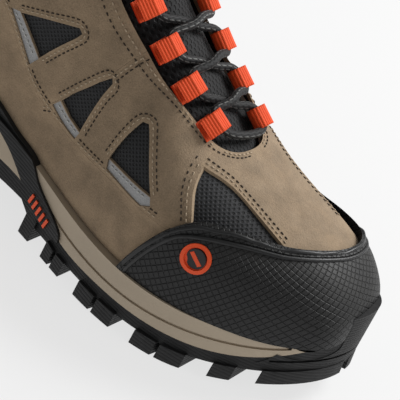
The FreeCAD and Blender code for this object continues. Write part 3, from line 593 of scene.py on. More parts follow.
class Braid(Finish):
    """Round braided lace with two pairs of pale fleck lines."""

    flecks = rgb(0.14, 0.14, 0.135)
    turns = 160.0

    def wire(self) -> None:
        """Wire the crossing strands, the painted shade between them and the flecks along the lace."""
        w = self.w
        place = w.add("ShaderNodeSeparateXYZ", {0: w.where("UV")})
        run, round_it = place.outputs["X"], place.outputs["Y"]
        strands = []
        for lean in (-5.0, 5.0):
            phase = w.math("ADD", w.math("MULTIPLY", run, self.turns), w.math("MULTIPLY", round_it, lean))
            strands.append(w.wave(phase))
        height = w.math("MAXIMUM", *strands)
        pair = w.math("ABSOLUTE", w.math("SUBTRACT", w.math("FRACT", w.math("MULTIPLY", round_it, 2.0)), 0.5))
        line = w.math("COMPARE", pair, 0.16, 0.045)
        fleck = w.math("MULTIPLY", line, w.math("GREATER_THAN", strands[0], 0.45))
        fuzz = self.grain(2600.0, 200.0)
        colour = w.mix(fuzz["Tone"], self.shade(0.6), self.shade(1.8))
        # Painted shade: the colour darkens where the strands dip between each other, on the laced stretch and
        # the bow.
        colour = w.mix(height, self.shade(0.4), colour)
        colour = w.mix(fleck, colour, self.flecks)
        self.connect(colour, self.roughness, height, 0.3, 0.8)


class BowBraid(Braid):
    """The same braid on the shorter, free stretches."""

    turns = 60.0


class BeadTape(Finish):
    """Reflective tape with a fine glass-bead sparkle."""

    def wire(self) -> None:
        """Wire the beads."""
        w = self.w
        beads = w.add("ShaderNodeTexVoronoi", {"Scale": 1800.0, "Vector": w.where()})
        net = self.effects.weave.use(w, Across=(0.7, 0.0, 0.7), Along=(-0.7, 0.0, 0.7), Cell=1.3 * MM)
        colour = w.mix(beads.outputs["Distance"], self.shade(1.25), self.shade(0.75))
        colour = w.mix(w.math("MULTIPLY", net["Hole"], 0.2), colour, self.shade(0.6))
        self.connect(colour, self.roughness, beads.outputs["Distance"], 0.05, 0.5)


class Metal(Finish):
    """Plain sheet steel inside the boot."""

    def wire(self) -> None:
        """Wire the brushing."""
        w = self.w
        brushed = self.effects.ribs.use(w, Direction=(0.0, 1.0, 0.0), Pitch=0.3 * MM)
        skin = self.grain(1500.0, 70.0)
        self.shader.inputs["Metallic"].default_value = 1.0
        colour = w.mix(skin["Tone"], self.shade(0.85), self.shade(1.1))
        self.connect(colour, self.varied(skin["Tone"]), brushed["Height"], 0.02, 0.4)


TAUPE: Triple = (0.268, 0.193, 0.122)
ORANGE: Triple = (0.80, 0.078, 0.012)
SOFT, NAP = Sheen(0.04), Sheen(0.12, 0.45)

# For each slot, the kind of finish and its material's name, colour, roughness, sheen and
# specular level.
FINISHES = {
    "suede": (Suede, "brushed_suede", TAUPE, 0.88, NAP, 0.25),
    "mesh": (OpenMesh, "open_mesh", (0.009, 0.0095, 0.0105), 0.62, SOFT, 0.3),
    "tongue_mesh": (TongueMesh, "tongue_mesh", (0.0055, 0.0057, 0.006), 0.65, SOFT, 0.22),
    "lining_mesh": (FineFabric, "lining_mesh", (0.02, 0.02, 0.021), 0.8, SOFT, 0.25),
    "collar_fabric": (FineFabric, "collar_fabric", (0.014, 0.0135, 0.0135), 0.7, SOFT, 0.25),
    "guard_rubber": (Scales, "guard_rubber", (0.016, 0.0161, 0.0163), 0.52, None, 0.25),
    "piping_rubber": (Foam, "piping_rubber", (0.015, 0.0151, 0.0153), 0.4, None, 0.35),
    "outsole_rubber": (RibbedRubber, "outsole_rubber", (0.0115, 0.0115, 0.0117), 0.58, None, 0.25),
    "midsole_foam": (Foam, "midsole_foam", (0.42, 0.345, 0.255), 0.62, None, 0.4),
    "accent_rubber": (Foam, "accent_rubber", ORANGE, 0.5, None, 0.4),
    "accent_webbing": (Webbing, "accent_webbing", ORANGE, 0.7, SOFT, 0.3),
    "pull_webbing": (Webbing, "pull_webbing", (0.02, 0.02, 0.021), 0.7, SOFT, 0.3),
    "lace_cord": (Braid, "lace_braid", (0.007, 0.007, 0.0072), 0.65, SOFT, 0.3),
    "bow_cord": (BowBraid, "bow_braid", (0.007, 0.007, 0.0072), 0.65, SOFT, 0.3),
    "aglet_plastic": (Foam, "aglet_plastic", (0.018, 0.018, 0.018), 0.25),
    "reflective_tape": (BeadTape, "reflective_tape", (0.32, 0.32, 0.32), 0.45, None, 0.6),
    "label": (Webbing, "label_cloth", (0.03, 0.03, 0.032), 0.75, SOFT, 0.3),
    "foam": (Foam, "open_cell_foam", (0.55, 0.52, 0.44), 0.9),
    "footbed_foam": (FineFabric, "footbed_felt", (0.03, 0.03, 0.033), 0.85, SOFT, 0.2),
    "board": (Foam, "fibre_board", (0.42, 0.34, 0.24), 0.85),
    "counter_board": (Foam, "counter_board", (0.7, 0.67, 0.6), 0.6),
    "toe_cap_steel": (Metal, "toe_cap_steel", (0.25, 0.25, 0.26), 0.4),
    "shank_steel": (Metal, "shank_steel", (0.45, 0.46, 0.47), 0.35),
    "plate_steel": (Metal, "plate_steel", (0.5, 0.5, 0.51), 0.35),
    "dark_thread": (Webbing, "dark_thread", (0.035, 0.024, 0.016), 0.7, SOFT, 0.3),
    "tan_thread": (Webbing, "tan_thread", (0.46, 0.36, 0.25), 0.7, SOFT, 0.3),
    "pale_thread": (Webbing, "pale_thread", (0.55, 0.55, 0.53), 0.7, SOFT, 0.3),
}


class Wardrobe:
    """Every finish of the boot by its material slot."""

    def __init__(self, effects: Effects) -> None:
        """Make all finishes."""
        self.finishes = {slot: kind(effects, *looks) for slot, (kind, *looks) in FINISHES.items()}

    def dress(self, obj: bpy.types.Object, name: str) -> None:
        """Give an object one finish all over."""
        obj.data.materials.clear()
        obj.data.materials.append(self.finishes[name].material)

    def dress_frame(self) -> None:
        """Give every CAD node the finish of its slot in the record."""
        for part in frame["record"]["subparts"]:
            node = frame["nodes"][part["node"]]
            for index in range(max(1, len(node.data.materials))):
                material = self.finishes[part["material_slot"]].material
                if node.data.materials:
                    node.data.materials[index] = material
                else:
                    node.data.materials.append(material)
        log.info("dressed %d CAD nodes", len(frame["nodes"]))


# ------------------------------------------------------------------ mesh helpers
class Shell:
    """Points and faces that are gathered into one mesh."""

    # Points round each ring of a tube.
    corners = 8

    def __init__(self, nodes: Sequence[str] = ()) -> None:
        """Start with the meshes of some CAD nodes, or with nothing."""
        self.points: list[Vector] = []
        self.faces: list[tuple[int, ...]] = []
        for node in nodes:
            mesh, base = frame["nodes"][node].data, len(self.points)
            self.points += [v.co.copy() for v in mesh.vertices]
            self.faces += [tuple(base + i for i in p.vertices) for p in mesh.polygons]

    def tube(self, centres: Sequence[Vector], rings: Sequence[tuple[Vector, Vector]]) -> None:
        """Add a closed tube through rings of points.

        Args:
            centres: The middle of each ring.
            rings: Half the width and half the height of each ring, as vectors.
        """
        base, count = len(self.points), self.corners
        for centre, (wide, high) in zip(centres, rings):
            for corner in range(count):
                turn = corner * math.tau / count
                self.points.append(centre + wide * math.cos(turn) + high * math.sin(turn))
        for start in range(base, len(self.points) - count, count):
            self.bridge(start, count)
        self.faces.append(tuple(range(base + count - 1, base - 1, -1)))
        self.faces.append(tuple(range(len(self.points) - count, len(self.points))))

    def bridge(self, start: int, count: int) -> None:
        """Join one ring of points to the next."""
        for corner in range(count):
            a, b = start + corner, start + (corner + 1) % count
            self.faces.append((a, b, b + count, a + count))

    def thread(self, middle: Vector, along: Vector, normal: Vector, length: float, width: float) -> None:
        """Add one stitch, its ends sunk into the surface.

        Args:
            middle: The stitch's middle, on the surface.
            along: The way that it runs.
            normal: The surface's outward normal.
            length: Its length in metres.
            width: Its thickness in metres.
        """
        across = along.cross(normal).normalized() * (width / 2)
        up = normal * (width / 2)
        centres = [middle + along * (length * share) + up * lift for share, lift, _ in STITCH_SHAPE]
        self.tube(centres, [(across * size, up * size) for *_, size in STITCH_SHAPE])

    def mesh(self, name: str) -> bpy.types.Mesh:
        """Turn it into mesh data."""
        mesh = bpy.data.meshes.new(name)
        mesh.from_pydata([tuple(p) for p in self.points], [], self.faces)
        return mesh

    def make(self, name: str, body: str, smooth: bool = True) -> bpy.types.Object:
        """Turn it into an object that rides on a body."""
        mesh = self.mesh(name)
        mesh.polygons.foreach_set("use_smooth", [smooth] * len(mesh.polygons))
        mesh.update()
        obj = add_object(name, mesh)
        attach(obj, body)
        return obj


class Outside:
    """The outer faces of some CAD nodes, for laying things on them."""

    # Where rays start, clear of the boot, in millimetres.
    beyond_side, beyond_top = 120, 260

    def __init__(self, *nodes: str) -> None:
        """Gather the faces."""
        shell = Shell(nodes)
        self.tree = BVHTree.FromPolygons(shell.points, shell.faces)

    def along(self, start: Vector, way: Vector) -> tuple[Vector, Vector] | None:
        """Find where a ray first meets the faces, with the normal towards its start."""
        place, normal, _, _ = self.tree.ray_cast(start, way)
        if place is None:
            return None
        return place, normal if normal.dot(way) < 0 else -normal

    def from_side(self, x: float, z: float, sign: int) -> tuple[Vector, Vector] | None:
        """Look from one side (sign is -1 for the lateral side) at a place in millimetres."""
        return self.along(at(x, sign * self.beyond_side, z), Vector((0, -sign, 0)))

    def from_above(self, x: float, y: float) -> tuple[Vector, Vector] | None:
        """Look at the boot from above, at a place in millimetres."""
        return self.along(at(x, y, self.beyond_top), Vector((0, 0, -1)))


# ------------------------------------------------------------------ stitching
@dataclass(frozen=True)
class Stitch:
    """The size of one stitch and the steps that a row can take, in millimetres."""

    length: float = 2.0
    gap: float = 0.95
    width: float = 0.75
    shortest_step: float = 0.3
    longest_step: float = 6.0


class View(Enum):
    """How a seam's line is drawn."""

    LATERAL = -1
    MEDIAL = 1
    ABOVE = 0


class Sewing:
    """The machine that lays stitches on the panels."""

    def __init__(self, wardrobe: Wardrobe, stitch: Stitch) -> None:
        """Get ready to sew."""
        self.wardrobe, self.stitch = wardrobe, stitch
        panels = [f"{kind}_{side}" for kind in ("mudguard", "rear_quarter", "front_quarter")
                  for side in ("lateral", "medial")]
        self.panels = Outside(*panels, "vamp", "heel_panel")
        self.strips = Outside("reflective_strips_lateral", "reflective_strips_medial")
        self.threads: dict[str, Shell] = {}

    def row(self, line: Sequence[Pair], view: View, thread: str, surface: Outside | None = None) -> None:
        """Sew one row.

        Args:
            line: The row's path.
            view: How the path is drawn.
            thread: The finish of the thread.
            surface: What it is sewn on, if not the panels.
        """
        surface = surface or self.panels
        shell = self.threads.setdefault(thread, Shell())
        found = []
        for a, b in evenly(line, self.stitch.length + self.stitch.gap):
            hit = surface.from_above(a, b) if view is View.ABOVE else surface.from_side(a, b, view.value)
            found.append(hit)
        for here, following in zip(found, found[1:]):
            if here is None or following is None:
                continue
            step = following[0] - here[0]
            if not self.stitch.shortest_step * MM < step.length < self.stitch.longest_step * MM:
                continue
            normal = (here[1] + following[1]).normalized()
            shell.thread(here[0].lerp(following[0], 0.5), step.normalized(), normal,
                         self.stitch.length * MM, self.stitch.width * MM)

    def double(self, line: Sequence[Pair], view: View, near: float, far: float) -> None:
        """Sew a dark and a tan row along a seam.

        Args:
            line: The seam.
            view: How it is drawn.
            near: Distance of the tan row from the seam; negative is on its left.
            far: Distance of the dark row.
        """
        self.row(beside(line, near), view, "tan_thread")
        self.row(beside(line, far), view, "dark_thread")

    def sew(self) -> None:
        """Sew every seam on both sides."""
        for view in (View.LATERAL, View.MEDIAL):
            self.double(MUDGUARD_SEAM, view, -2.0, -4.0)
            self.double(QUARTER_SEAM, view, 2.0, 4.0)
            self.double(QUARTER_FRONT, view, 2.2, 4.4)
            self.double(COLLAR_SEAM, view, 2.0, 4.0)
            for window in (REAR_WINDOW, ARCH_WINDOW, BALL_WINDOW):
                self.double(window, view, -2.0, -4.0)
            for strip in (REAR_STRIP, ARCH_STRIP, BALL_STRIP):
                self.row(strip, view, "pale_thread", self.strips)
        for line, sign in ((THROAT_LATERAL, 1), (THROAT_MEDIAL, -1)):
            self.double(line, View.ABOVE, sign * 1.4, sign * 3.0)
        for line, sign in ((VAMP_LATERAL, -1), (VAMP_MEDIAL, 1)):
            self.double(line, View.ABOVE, sign * 2.0, sign * 4.2)
        for thread, shell in self.threads.items():
            obj = shell.make(f"stitches_{thread}", "upper_and_sole")
            self.wardrobe.dress(obj, thread)
            log.info("%s: %d points", obj.name, len(shell.points))


# ------------------------------------------------------------------ lacing
class LoopPlace:
    """Where one webbing loop stands and which way it lies."""

    lift, lean = 4.2, 1.5

    def __init__(self, row: Sequence[Triple], index: int) -> None:
        """Work out its directions from its neighbours."""
        self.here = Vector(row[index])
        before, after = row[max(index - 1, 0)], row[min(index + 1, len(row) - 1)]
        self.along = (Vector(after) - Vector(before)).normalized()
        inward = Vector((0, 1 if self.here.y < 0 else -1, 0))
        self.inward = (inward - self.along * inward.dot(self.along)).normalized()
        out = self.along.cross(self.inward)
        self.out = out if out.z > 0 else -out
        self.hole = self.here + self.out * self.lift + self.inward * self.lean


@dataclass(frozen=True)
class LoopSize:
    """The folded webbing and the pitch of its mesh, in millimetres."""

    width: float = 11.0
    slot: Pair = (10.0, 5.4)
    thickness: float = 1.5
    tail: float = 7.0
    rib_pitch: float = 1.7
    rib_depth: float = 0.42
    fineness: float = 0.28
    steps: int = 8


@dataclass(frozen=True)
class LaceLoops:
    """One side's webbing loops, each a ribbed tape folded round the lace."""

    side: str
    row: Sequence[Triple]
    size: LoopSize = LoopSize()

    def profile(self) -> list[Pair]:
        """The tape's middle line, from the end of its tail round the fold and back.

        Returns:
            Points as (inward, outward) from the hole's middle.
        """
        wide, high = self.size.slot
        half_high = high / 2 + self.size.thickness / 2
        straight = wide / 2 - high / 2
        line = [(-straight - self.size.tail, -half_high - 1.6), (-straight - 2, -half_high - 0.3)]
        line += [(-straight + 2 * straight * step / 6, -half_high) for step in range(7)]
        line += [(straight + half_high * math.cos(a), half_high * math.sin(a))
                 for a in (math.radians(d) for d in range(-75, 90, 15))]
        line += [(straight - 2 * straight * step / 6, half_high) for step in range(7)]
        line += [(-straight - 2, half_high - 1.4), (-straight - self.size.tail, half_high - 5.0)]
        return line

    def build(self, wardrobe: Wardrobe) -> bpy.types.Object:
        """Make all loops of the side as one piece."""
        shell = Shell()
        for index in range(len(self.row)):
            self._fold(shell, LoopPlace(self.row, index))
        obj = shell.make(f"webbing_loops_{self.side}", "upper_and_sole")
        wardrobe.dress(obj, "accent_webbing")
        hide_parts(f"lace_loops_{self.side}")
        log.info("%s: %d loops", obj.name, len(self.row))
        return obj

    def _fold(self, shell: Shell, place: LoopPlace) -> None:
        """Add one folded tape."""
        pitch, steps = self.size.fineness, self.size.steps
        line = evenly(self.profile(), pitch)
        half_width = self.size.width / 2
        base = len(shell.points)
        run = 0.0
        for index, (a, b) in enumerate(line):
            before, after = line[max(index - 1, 0)], line[min(index + 1, len(line) - 1)]
            way = Vector((after[0] - before[0], after[1] - before[1])).normalized()
            run += pitch
            rib = self.size.rib_depth * abs(math.sin(math.pi * run / self.size.rib_pitch)) ** 0.7
            for face in (1, -1):
                reach = face * (self.size.thickness / 2 - self.size.rib_depth + rib)
                side, rise = a + way.y * reach, b - way.x * reach
                spot = place.hole + place.inward * side + place.out * rise
                for step in range(steps + 1):
                    share = step / steps * 2 - 1
                    shell.points.append(at(*(spot + place.along * (share * half_width))))
        count = 2 * (steps + 1)
        for ring in range(len(line) - 1):
            start = base + ring * count
            for step in range(steps):
                a = start + step
                shell.faces.append((a, a + 1, a + 1 + count, a + count))
                a = start + steps + 1 + step
                shell.faces.append((a + 1, a, a + count, a + 1 + count))
            left, other = start, start + steps + 1
            shell.faces.append((left + count, other + count, other, left))
            left, other = start + steps, start + 2 * steps + 1
            shell.faces.append((left, other, other + count, left + count))


@dataclass(frozen=True)
class LaceSize:
    """The lace and how it runs, in millimetres."""

    diameter: float = 4.4
    straight: float = 7.0
    over: float = 5.6
    reach: float = 5.0
    rises: tuple[float, ...] = (-1.0, -0.6, 0.2, 2.0, 3.2)


@dataclass(frozen=True)
class Lacing:
    """The lace, its knot, its bow and its ends."""

    wardrobe: Wardrobe
    size: LaceSize = LaceSize()

    def half(self, first: Sequence[Triple], second: Sequence[Triple], over: bool) -> list[Vector]:
        """Half of the route in millimetres, from the lowest loop of its first side upwards."""
        points = []
        for index in range(len(first)):
            loops, facing = (first, second) if index % 2 == 0 else (second, first)
            place = LoopPlace(loops, index)
            points += [place.hole - place.along * self.size.straight,
                       place.hole + place.along * self.size.straight]
            if index + 1 < len(first):
                following = LoopPlace(facing, index + 1).hole
                across = (following - place.hole).normalized() * self.size.reach
                rise = self.size.rises[index]
                if (index % 2 == 0) == over:
                    rise += self.size.over
                top = (place.hole + following) * 0.5 + place.out * rise
                points += [top - across, top + across]
        return points

    def route(self) -> list[Vector]:
        """The laced stretch in millimetres: knot, down one side, across and back up."""
        left = self.half(LOOPS_LATERAL, LOOPS_MEDIAL, True)
        right = self.half(LOOPS_MEDIAL, LOOPS_LATERAL, False)
        bottom = (left[0] + right[0]) * 0.5 + Vector((2.5, 0, -1))
        start, end = (KNOT + Vector((-2, side * 5.5, -3.5)) for side in (1, -1))
        return [start, *left[::-1], bottom, *right, end]

    def strand(self, name: str, points: Sequence[Vector], diameter: float) -> bpy.types.Object:
        """Lay a round cord along a smooth route; all sizes are in millimetres."""
        data = bpy.data.curves.new(name, "CURVE")
        data.dimensions = "3D"
        spline = data.splines.new("NURBS")
        spline.points.add(len(points) - 1)
        # The bevel is in millimetres and each point's radius turns it into metres, because a
        # curve's bounds also take in its points' radii: as metres, they stay inside the cord.
        for control, point in zip(spline.points, points):
            control.co = (*at(*point), 1.0)
            control.radius = MM
        data.bevel_depth = diameter / 2
        spline.order_u = 3
        spline.use_endpoint_u = True
        spline.resolution_u = 10
        data.bevel_resolution = 4
        data.use_fill_caps = True
        obj = add_object(name, data)
        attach(obj, "upper_and_sole")
        return obj

    def knot(self) -> bpy.types.Object:
        """Tie the knot: two turns of lace round a tight middle."""
        shell = Shell()
        steps, sweep, radius = 28, 2.2 * math.pi, 2.1 * MM
        for lean, swell, turn in ((0.35, 3.5, 0.0), (-0.4, 3.1, 0.9)):
            centres, rings = [], []
            axis = Vector((lean, 1.0, 0.15)).normalized()
            first = axis.cross(Vector((0, 0, 1))).normalized()
            second = axis.cross(first)
            for step in range(steps + 1):
                angle = turn + step * sweep / steps
                spoke = first * math.cos(angle) + second * math.sin(angle)
                shift = axis * (step / steps - 0.5) * self.size.diameter
                centres.append(at(*(KNOT + spoke * swell + shift)))
                rings.append((spoke * radius, axis * radius))
            shell.tube(centres, rings)
        obj = shell.make("bow_knot", "upper_and_sole")
        self.wardrobe.dress(obj, "pull_webbing")
        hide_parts("lace_knot")
        return obj

    def build(self) -> None:
        """Lay the lace and a cord along each stretch of the bow and its ends."""
        knot = self.knot()
        wide = self.size.diameter
        lace = self.strand("laced_lace", self.route(), wide)
        self.wardrobe.dress(lace, "lace_cord")
        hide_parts("lace")
        at(*self.route()[0])
        stretches = {
            "bow_loop_lateral": (BOW_LATERAL, 0.225, "knot"),
            "bow_loop_medial": (BOW_MEDIAL, 0.225, "knot"),
            "lace_end_lateral": (END_LATERAL, 0.058, "fitting"),
            "lace_end_medial": (END_MEDIAL, 0.092, "fitting"),
        }
        for node, (points, length, far_end) in stretches.items():
            piece = self.strand(f"{node}_cord", points, wide)
            self.wardrobe.dress(piece, "bow_cord")
            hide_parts(node)
        log.info("lace laid")


# ------------------------------------------------------------------ padding
@dataclass(frozen=True)
class PadSize:
    """How a pad is inflated."""

    voxel: float = 4.5
    pressure: float = 4.0
    frames: int = 20
    cap: float = 3.0
    clearance: float = 0.5


@dataclass(frozen=True)
class Pad:
    """A padded piece, inflated as cloth from the CAD nodes that it stands for."""

    name: str
    nodes: Sequence[str]
    body: str
    size: PadSize

    def build(self, wardrobe: Wardrobe, finish: str,
              keep_off: Sequence[bpy.types.Object]) -> bpy.types.Object:
        """Inflate the pad and dress it."""
        obj = self._copy()
        remesh = obj.modifiers.new("remesh", "REMESH")
        remesh.mode, remesh.voxel_size = "VOXEL", self.size.voxel * MM
        self._apply(obj)
        rest = [v.co.copy() for v in obj.data.vertices]
        self._inflate(obj)
        self._cap(obj, rest, keep_off)
        smooth = obj.modifiers.new("smooth", "SUBSURF")
        smooth.levels = smooth.render_levels = 1
        self._apply(obj)
        obj.data.polygons.foreach_set("use_smooth", [True] * len(obj.data.polygons))
        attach(obj, self.body)
        wardrobe.dress(obj, finish)
        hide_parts(*self.nodes)
        log.info("%s: %d points", obj.name, len(obj.data.vertices))
        return obj

    def _copy(self) -> bpy.types.Object:
        """Join copies of the CAD meshes."""
        return add_object(self.name, Shell(self.nodes).mesh(self.name))

    @staticmethod
    def _apply(obj: bpy.types.Object) -> None:
        """Keep what the modifiers make and drop them."""
        graph = bpy.context.evaluated_depsgraph_get()
        mesh = bpy.data.meshes.new_from_object(obj.evaluated_get(graph))
        obj.modifiers.clear()
        obj.data = mesh

    def _inflate(self, obj: bpy.types.Object) -> None:
        """Run the cloth."""
        cloth = obj.modifiers.new("cloth", "CLOTH")
        cloth.settings.use_pressure = True
        cloth.settings.uniform_pressure_force = self.size.pressure
        cloth.settings.effector_weights.gravity = 0.0
        for number in range(1, self.size.frames + 1):
            bpy.context.scene.frame_set(number)
        self._apply(obj)
        bpy.context.scene.frame_set(1)

    def _cap(self, obj: bpy.types.Object, rest: list[Vector], keep_off: Sequence[bpy.types.Object]) -> None:
        """Hold each point near its rest place, and nearer still under what presses on it."""
        trees = []
        graph = bpy.context.evaluated_depsgraph_get()
        for other in keep_off:
            mesh = bpy.data.meshes.new_from_object(other.evaluated_get(graph))
            trees.append(BVHTree.FromPolygons([v.co.copy() for v in mesh.vertices],
                                              [tuple(p.vertices) for p in mesh.polygons]))
            bpy.data.meshes.remove(mesh)
        for vertex, start in zip(obj.data.vertices, rest):
            limit = self.size.cap * MM
            for tree in trees:
                gap = tree.find_nearest(start)[3]
                limit = min(limit, max(0.0, gap - self.size.clearance * MM))
            move = vertex.co - start
            if move.length > limit:
                vertex.co = start + move.normalized() * limit


# ------------------------------------------------------------------ trims
@dataclass(frozen=True)
class Trims:
    """The small plain trims: the badge's inlay and the label's woven lines, in millimetres."""

    wardrobe: Wardrobe
    disc_radius: float = 5.4
    disc_corners: int = 40
    disc_rise: float = 0.35
    bar_rise: float = 0.6
    dash: float = 1.1

    def badge(self) -> None:
        """A dark disc with a plain slanted bar inside the badge's ring."""
        face = Outside("guard_badge")
        normal = Vector((0.13, -1, 0.18)).normalized()
        start = at(BADGE_CENTRE[0], -40, BADGE_CENTRE[1]) + normal * 80 * MM
        middle = face.along(start, -normal)[0]
        across = normal.cross(Vector((0, 0, 1))).normalized()
        high = across.cross(normal)
        disc, bar = Shell(), Shell()
        angles = (math.tau * step / self.disc_corners for step in range(self.disc_corners))
        outline = [(across * math.cos(a) + high * math.sin(a)) * self.disc_radius * MM for a in angles]
        self._plate(disc, middle, normal, outline, self.disc_rise)
        corners = [(-4.2, -1.6), (-2.6, -3.2), (4.2, 1.6), (2.6, 3.2)]
        self._plate(bar, middle, normal, [(across * a + high * b) * MM for a, b in corners], self.bar_rise)
        for shell, name, finish, slot in ((disc, "badge_inlay", "piping_rubber", "guard_rubber"),
                                          (bar, "badge_bar", "accent_rubber", "accent_rubber")):
            obj = shell.make(name, "upper_and_sole", False)
            self.wardrobe.dress(obj, finish)

    @staticmethod
    def _plate(shell: Shell, middle: Vector, normal: Vector, outline: Sequence[Vector], rise: float) -> None:
        """Add a flat plate that stands a little out of a surface."""
        base, count = len(shell.points), len(outline)
        shell.points += [middle + p - normal * 0.8 * MM for p in outline]
        shell.points += [middle + p + normal * rise * MM for p in outline]
        shell.points += [middle + p * 0.94 + normal * (rise + 0.12) * MM for p in outline]
        for start in (base, base + count):
            shell.bridge(start, count)
        shell.faces.append(tuple(range(base + 2 * count, base + 3 * count)))

    def label(self) -> None:
        """Short pale woven lines on the tongue's label."""
        face = Outside("tongue_label")
        shell = Shell()
        for row, (x, z) in enumerate(((131, 152), (134.5, 156.5), (138, 161))):
            start, end = (-6.5, 5.5) if row != 1 else (-6.5, 2.0)
            for step in range(int((end - start) / self.dash)):
                y = start + step * self.dash
                hit = face.along(at(x + 25, y, z + 25), Vector((-1, 0, -1)).normalized())
                if hit is not None and (step + row) % 5 != 4:
                    shell.thread(hit[0], Vector((0, 1, 0)), hit[1], self.dash * MM, 0.7 * MM)
        if shell.points:
            obj = shell.make("label_lines", "tongue_body")
            self.wardrobe.dress(obj, "pale_thread")
        log.info("label lines: %d points", len(shell.points))


class Piping:
    """The two smooth beads that edge the toe guard."""

    # Sizes in millimetres, and how many times the path is smoothed.
    radius, pitch, insets = 1.25, 1.5, (1.5, 4.2)
    smoothing = 6

    def __init__(self, wardrobe: Wardrobe) -> None:
        """Get the finishes."""
        self.wardrobe, self.guard = wardrobe, Outside("toe_guard")

    def bead(self, inset: float) -> list[tuple[Vector, Vector]]:
        """Follow the guard's edge round the toe, some millimetres inside it."""
        side = evenly(beside(GUARD_SIDE, inset), self.pitch)
        front = evenly(beside(GUARD_OPENING, inset), self.pitch)
        hits = [self.guard.from_side(a, b, -1) for a, b in side]
        hits += [self.guard.from_above(a, b) for a, b in front]
        hits += [self.guard.from_side(a, b, 1) for a, b in reversed(side)]
        return [hit for hit in hits if hit is not None]

    def build(self) -> None:
        """Lay the beads."""
        shell = Shell()
        for inset in self.insets:
            found = self.bead(inset)
            places = [place for place, _ in found]
            for _ in range(self.smoothing):
                between = [(a + b * 2 + c) / 4 for a, b, c in zip(places, places[1:], places[2:])]
                places = [places[0], *between, places[-1]]
            rings = []
            for index, (_, normal) in enumerate(found):
                way = places[min(index + 1, len(places) - 1)] - places[max(index - 1, 0)]
                across = way.normalized().cross(normal).normalized()
                rings.append((across * self.radius * MM, normal * self.radius * MM))
            shell.tube(places, rings)
        obj = shell.make("guard_piping", "upper_and_sole")
        self.wardrobe.dress(obj, "piping_rubber")
        log.info("guard piping: %d points", len(shell.points))


# ------------------------------------------------------------------ studio
@dataclass(frozen=True)
class Lens:
    """The camera's place and lens, as angles in degrees and sizes in millimetres."""

    aim: Triple = (210.0, 0.0, 50.0)
    azimuth: float = 19.102
    elevation: float = 34.411
    roll: float = 25.786
    distance: float = 1000.2
    focal: float = 172.4
    shift: Pair = (-0.0223, 0.0286)


@dataclass(frozen=True)
class Lamp:
    """One soft area light."""

    name: str
    place: Triple
    power: float
    size: float


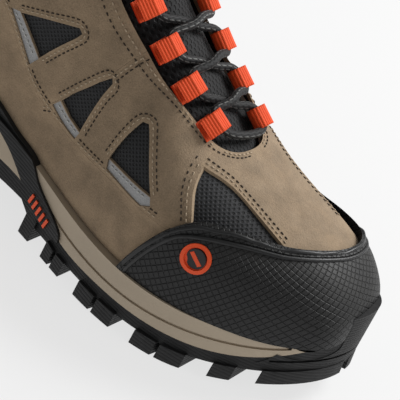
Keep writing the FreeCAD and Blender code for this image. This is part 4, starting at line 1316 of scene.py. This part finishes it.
class Studio:
    """The floor, the lights and the camera."""

    # What the lamps point at, in metres.
    middle = Vector((0, 0, 0.06))
    lamps = (
        Lamp("key", (0.5, 0.9, 1.1), 25.0, 0.7),
        Lamp("front", (1.2, 0.1, 0.7), 3.4, 0.8),
        Lamp("fill", (-0.2, -1.3, 0.7), 0.9, 1.2),
    )
    sky = 0.22
    # Half the floor's side, and how far below the soles it lies, in metres.
    floor_reach, floor_drop = 6, 0.0004
    lens = Lens()

    def build(self) -> None:
        """Set everything up."""
        self._camera()
        self._floor()
        for lamp in self.lamps:
            data = bpy.data.lights.new(lamp.name, "AREA")
            data.energy, data.size = lamp.power, lamp.size
            obj = add_object(lamp.name, data)
            obj.location = lamp.place
            obj.rotation_mode = "QUATERNION"
            obj.rotation_quaternion = (self.middle - Vector(lamp.place)).to_track_quat("-Z", "Y")
        world = bpy.data.worlds.new("studio")
        world.use_nodes = True
        sky = world.node_tree.nodes["Background"].inputs
        sky["Color"].default_value, sky["Strength"].default_value = rgb(1.0, 1.0, 1.0), self.sky
        bpy.context.scene.world = world
        bpy.context.scene.view_settings.view_transform = "Standard"

    def _camera(self) -> None:
        """Put the camera at its angle."""
        a, e, r = (math.radians(v) for v in (self.lens.azimuth, self.lens.elevation, self.lens.roll))
        back = Vector((math.sin(a) * math.cos(e), -math.cos(a) * math.cos(e), math.sin(e)))
        right = Vector((0, 0, 1)).cross(back).normalized()
        up = back.cross(right)
        turned = right * math.cos(r) + up * math.sin(r)
        data = bpy.data.cameras.new("camera")
        data.lens, data.sensor_width = self.lens.focal, 36.0
        data.shift_x, data.shift_y = self.lens.shift
        data.clip_start, data.clip_end = 0.05, 20.0
        camera = add_object("camera", data)
        place = at(*(Vector(self.lens.aim) + back * self.lens.distance))
        turn = Matrix((turned, back.cross(turned), back)).transposed()
        camera.matrix_world = Matrix.Translation(place) @ turn.to_4x4()
        bpy.context.scene.camera = camera

    def _floor(self) -> None:
        """Lay a plain pale floor."""
        shell = Shell()
        shell.points = [Vector((x * self.floor_reach, y * self.floor_reach, -self.floor_drop))
                        for x, y in ((-1, -1), (1, -1), (1, 1), (-1, 1))]
        shell.faces = [(0, 1, 2, 3)]
        floor = add_object("floor", shell.mesh("floor"))
        material = bpy.data.materials.new("pale_floor")
        material.use_nodes = True
        shader = material.node_tree.nodes["Principled BSDF"]
        looks = {"Base Color": rgb(0.16, 0.16, 0.16), "Roughness": 0.95,
                 "Emission Color": rgb(1.0, 1.0, 1.0), "Emission Strength": 0.71}
        for name, value in looks.items():
            shader.inputs[name].default_value = value
        floor.data.materials.append(material)


class Boot:
    """The whole boot's looks, built round the CAD frame."""

    def __init__(self) -> None:
        """Make the finishes."""
        self.wardrobe = Wardrobe(Effects())

    def build(self) -> None:
        """Build every piece."""
        self.wardrobe.dress_frame()
        loops = [LaceLoops(side, row).build(self.wardrobe)
                 for side, row in (("lateral", LOOPS_LATERAL), ("medial", LOOPS_MEDIAL))]
        Lacing(self.wardrobe).build()
        lace = bpy.data.objects["laced_lace"]
        tongue = Pad("padded_tongue", ["tongue"], "tongue_body", PadSize(cap=4.5))
        tongue.build(self.wardrobe, "tongue_mesh", [lace, *loops, frame["nodes"]["tongue_label"]])
        collar = Pad("padded_collar", ["collar_cover", "collar_foam"], "upper_and_sole",
                     PadSize(voxel=4.0, cap=2.2))
        collar.build(self.wardrobe, "collar_fabric", [frame["nodes"]["pull_loop"]])
        Sewing(self.wardrobe, Stitch()).sew()
        Piping(self.wardrobe).build()
        trims = Trims(self.wardrobe)
        trims.badge()
        trims.label()


def main() -> None:
    """Build the scene."""
    logging.basicConfig(level=logging.INFO, format="%(message)s")
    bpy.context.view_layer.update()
    Studio().build()
    Boot().build()
    bpy.context.view_layer.update()


if __name__ == "__main__":
    main()
